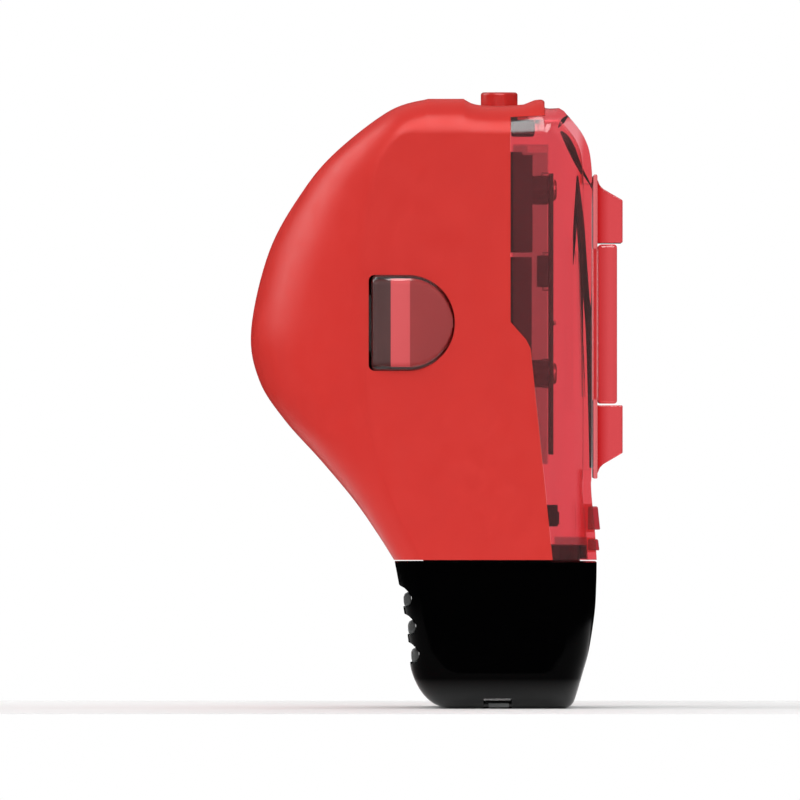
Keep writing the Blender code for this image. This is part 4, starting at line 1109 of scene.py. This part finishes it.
def display_mask():
    """The black mask, bowed forwards from its top edge, with the window for the glass."""
    knots = (
        (8.68, 66.4, 0.03),
        (9.0, 61.5, 0.34),
        (9.38, 55.9, 0.37),
        (9.7, 50.9, 0.32),
        (9.92, 46.6, 0.28),
        (10.08, 38.4, 0.2),
        (10.2, 29.95, 0.14),
    )
    mask = sliver("display_mask_fine", knots, OPENING_HALF_WIDTH - 0.3 * MM)
    half_y, half_z = WINDOW_HALF_WIDTH - 1.4 * MM, WINDOW_HALF_HEIGHT - 1.4 * MM
    window = box("mask_window", (7 * MM, -half_y, LENS_Z - half_z), (12 * MM, half_y, LENS_Z + half_z))
    place(smooth(carve(mask, cuts=[window])), "housing", "display_mask", slot="dark_plastic")


def glass_face_x(z):
    """The front of the leaning display glass at a height."""
    low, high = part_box("lcd_panel")
    return high.x - DISPLAY_LEAN * (z - low.z)


def lcd_face():
    """The reflective film on the front of the glass, which the marks stand on."""
    low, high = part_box("lcd_panel")
    thick = 0.04 * MM
    front = [(glass_face_x(z), z) for z in (low.z, high.z)]
    outline = front + [(x - thick, z) for x, z in reversed(front)]
    place(side_prism("lcd_face", outline, low.y, high.y, LCD_FACE), "housing", slot="lcd_glass")


def meter_marks():
    """A generic tuning meter on the glass: an arc of ticks, a needle and two level bars."""
    thick = 0.03 * MM
    pivot_z = LENS_Z - 7.6 * MM
    marks = []

    def bar(angle, inner, outer, half):
        direction = Vector((0, math.sin(angle), math.cos(angle)))
        across = Vector((0, direction.z, -direction.y)) * half
        centre = Vector((0, 0, pivot_z))
        base = [centre + direction * inner, centre + direction * outer]
        flat = [base[0] - across, base[0] + across, base[1] + across, base[1] - across]
        marks.append([(glass_face_x(p.z), p.y, p.z) for p in flat])

    for k in range(-10, 11):
        angle = math.radians(4.6 * k)
        bar(angle, (11.6 if k % 5 == 0 else 12.4) * MM, 13.6 * MM, (0.16 if k % 5 == 0 else 0.09) * MM)
    bar(math.radians(0.0), 1.2 * MM, 11.2 * MM, 0.14 * MM)
    points, faces = [], []
    for flat in marks:
        start = len(points)
        points += flat + [(x + thick, y, z) for x, y, z in flat]
        faces += [tuple(start + k for k in (0, 1, 2, 3)), tuple(start + k for k in (7, 6, 5, 4))]
        faces += [tuple(start + k for k in (a, (a + 1) % 4, (a + 1) % 4 + 4, a + 4)) for a in range(4)]
    meter = new_piece("meter_marks", solid_mesh("meter_marks", points, faces), LCD_INK)
    place(meter, "housing", slot="dark_plastic")
    levels = []
    for side in (-1, 1):
        for k in range(6):
            y = side * 9.6 * MM
            z = LENS_Z - 6.9 * MM + k * 1.15 * MM
            face_x = glass_face_x(z)
            levels.append(((face_x, y - 0.7 * MM, z), (face_x + thick, y + 0.7 * MM, z + 0.75 * MM)))
    place(joined("level_bars", levels, LCD_INK), "housing", slot="dark_plastic")


def cell_sleeve():
    """The plain shrink sleeve round the battery's can."""
    low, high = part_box("battery_cell")
    centre = ((low.x + high.x) / 2, 0, (low.z + high.z) / 2)
    radius = (high.x - low.x) / 2
    start, end = low.y + 0.6 * MM, high.y - 1.6 * MM
    sunk, proud = radius - 0.05 * MM, radius + 0.06 * MM
    profile = [(start, sunk), (start, proud), (end, proud), (end, sunk)]
    count = 96
    points, faces = [], []
    for distance, r in profile:
        for k in range(count):
            angle = 2 * math.pi * k / count
            points.append((centre[0] + r * math.sin(angle), distance, centre[2] + r * math.cos(angle)))
    rows = len(profile)
    for row in range(rows):
        for k in range(count):
            after, below = (k + 1) % count, (row + 1) % rows
            faces.append((row * count + k, row * count + after, below * count + after, below * count + k))
    sleeve = new_piece("cell_sleeve", solid_mesh("cell_sleeve", points, faces), SLEEVE)
    place(smooth(sleeve), "housing", slot="dark_plastic")


def dress_cad_nodes():
    by_node = {
        "chassis": DARK_FRAME,
        "battery_cell": CAN,
        "plus_contact": BRASS,
        "minus_spring": STEEL,
        "power_spring": STEEL,
        "piezo_disc": BRASS,
        "main_board": BOARD,
        "key_board": BOARD,
        "microphone": CAN,
        "lcd_backlight": LIGHT_GUIDE,
        "lcd_panel": GLASS,
        "indicator_led": GUIDE_WHITE,
        "buzzer_chamber": DARK_FRAME,
        "switch_carrier": DARK_FRAME,
        "smoke_frame": SMOKE,
    }
    for name, obj in NODES.items():
        material = by_node.get(name)
        if material is None:
            metal_part = "screw" in name or "pin" in name
            material = STEEL if metal_part else CHIP_BLACK
        for k in range(len(obj.material_slots)):
            obj.material_slots[k].material = material


dress_cad_nodes()
rear_shell()
front_shell()
base_cap()
grip_bars()
foot_plate()
bezel()
lens()
front_key()
power_button()
side_keys()
chip_legs()
chip_parts()
deck_collars()
roof_foam_and_shade_strips()
display_mask()
lcd_face()
meter_marks()
cell_sleeve()
studio()
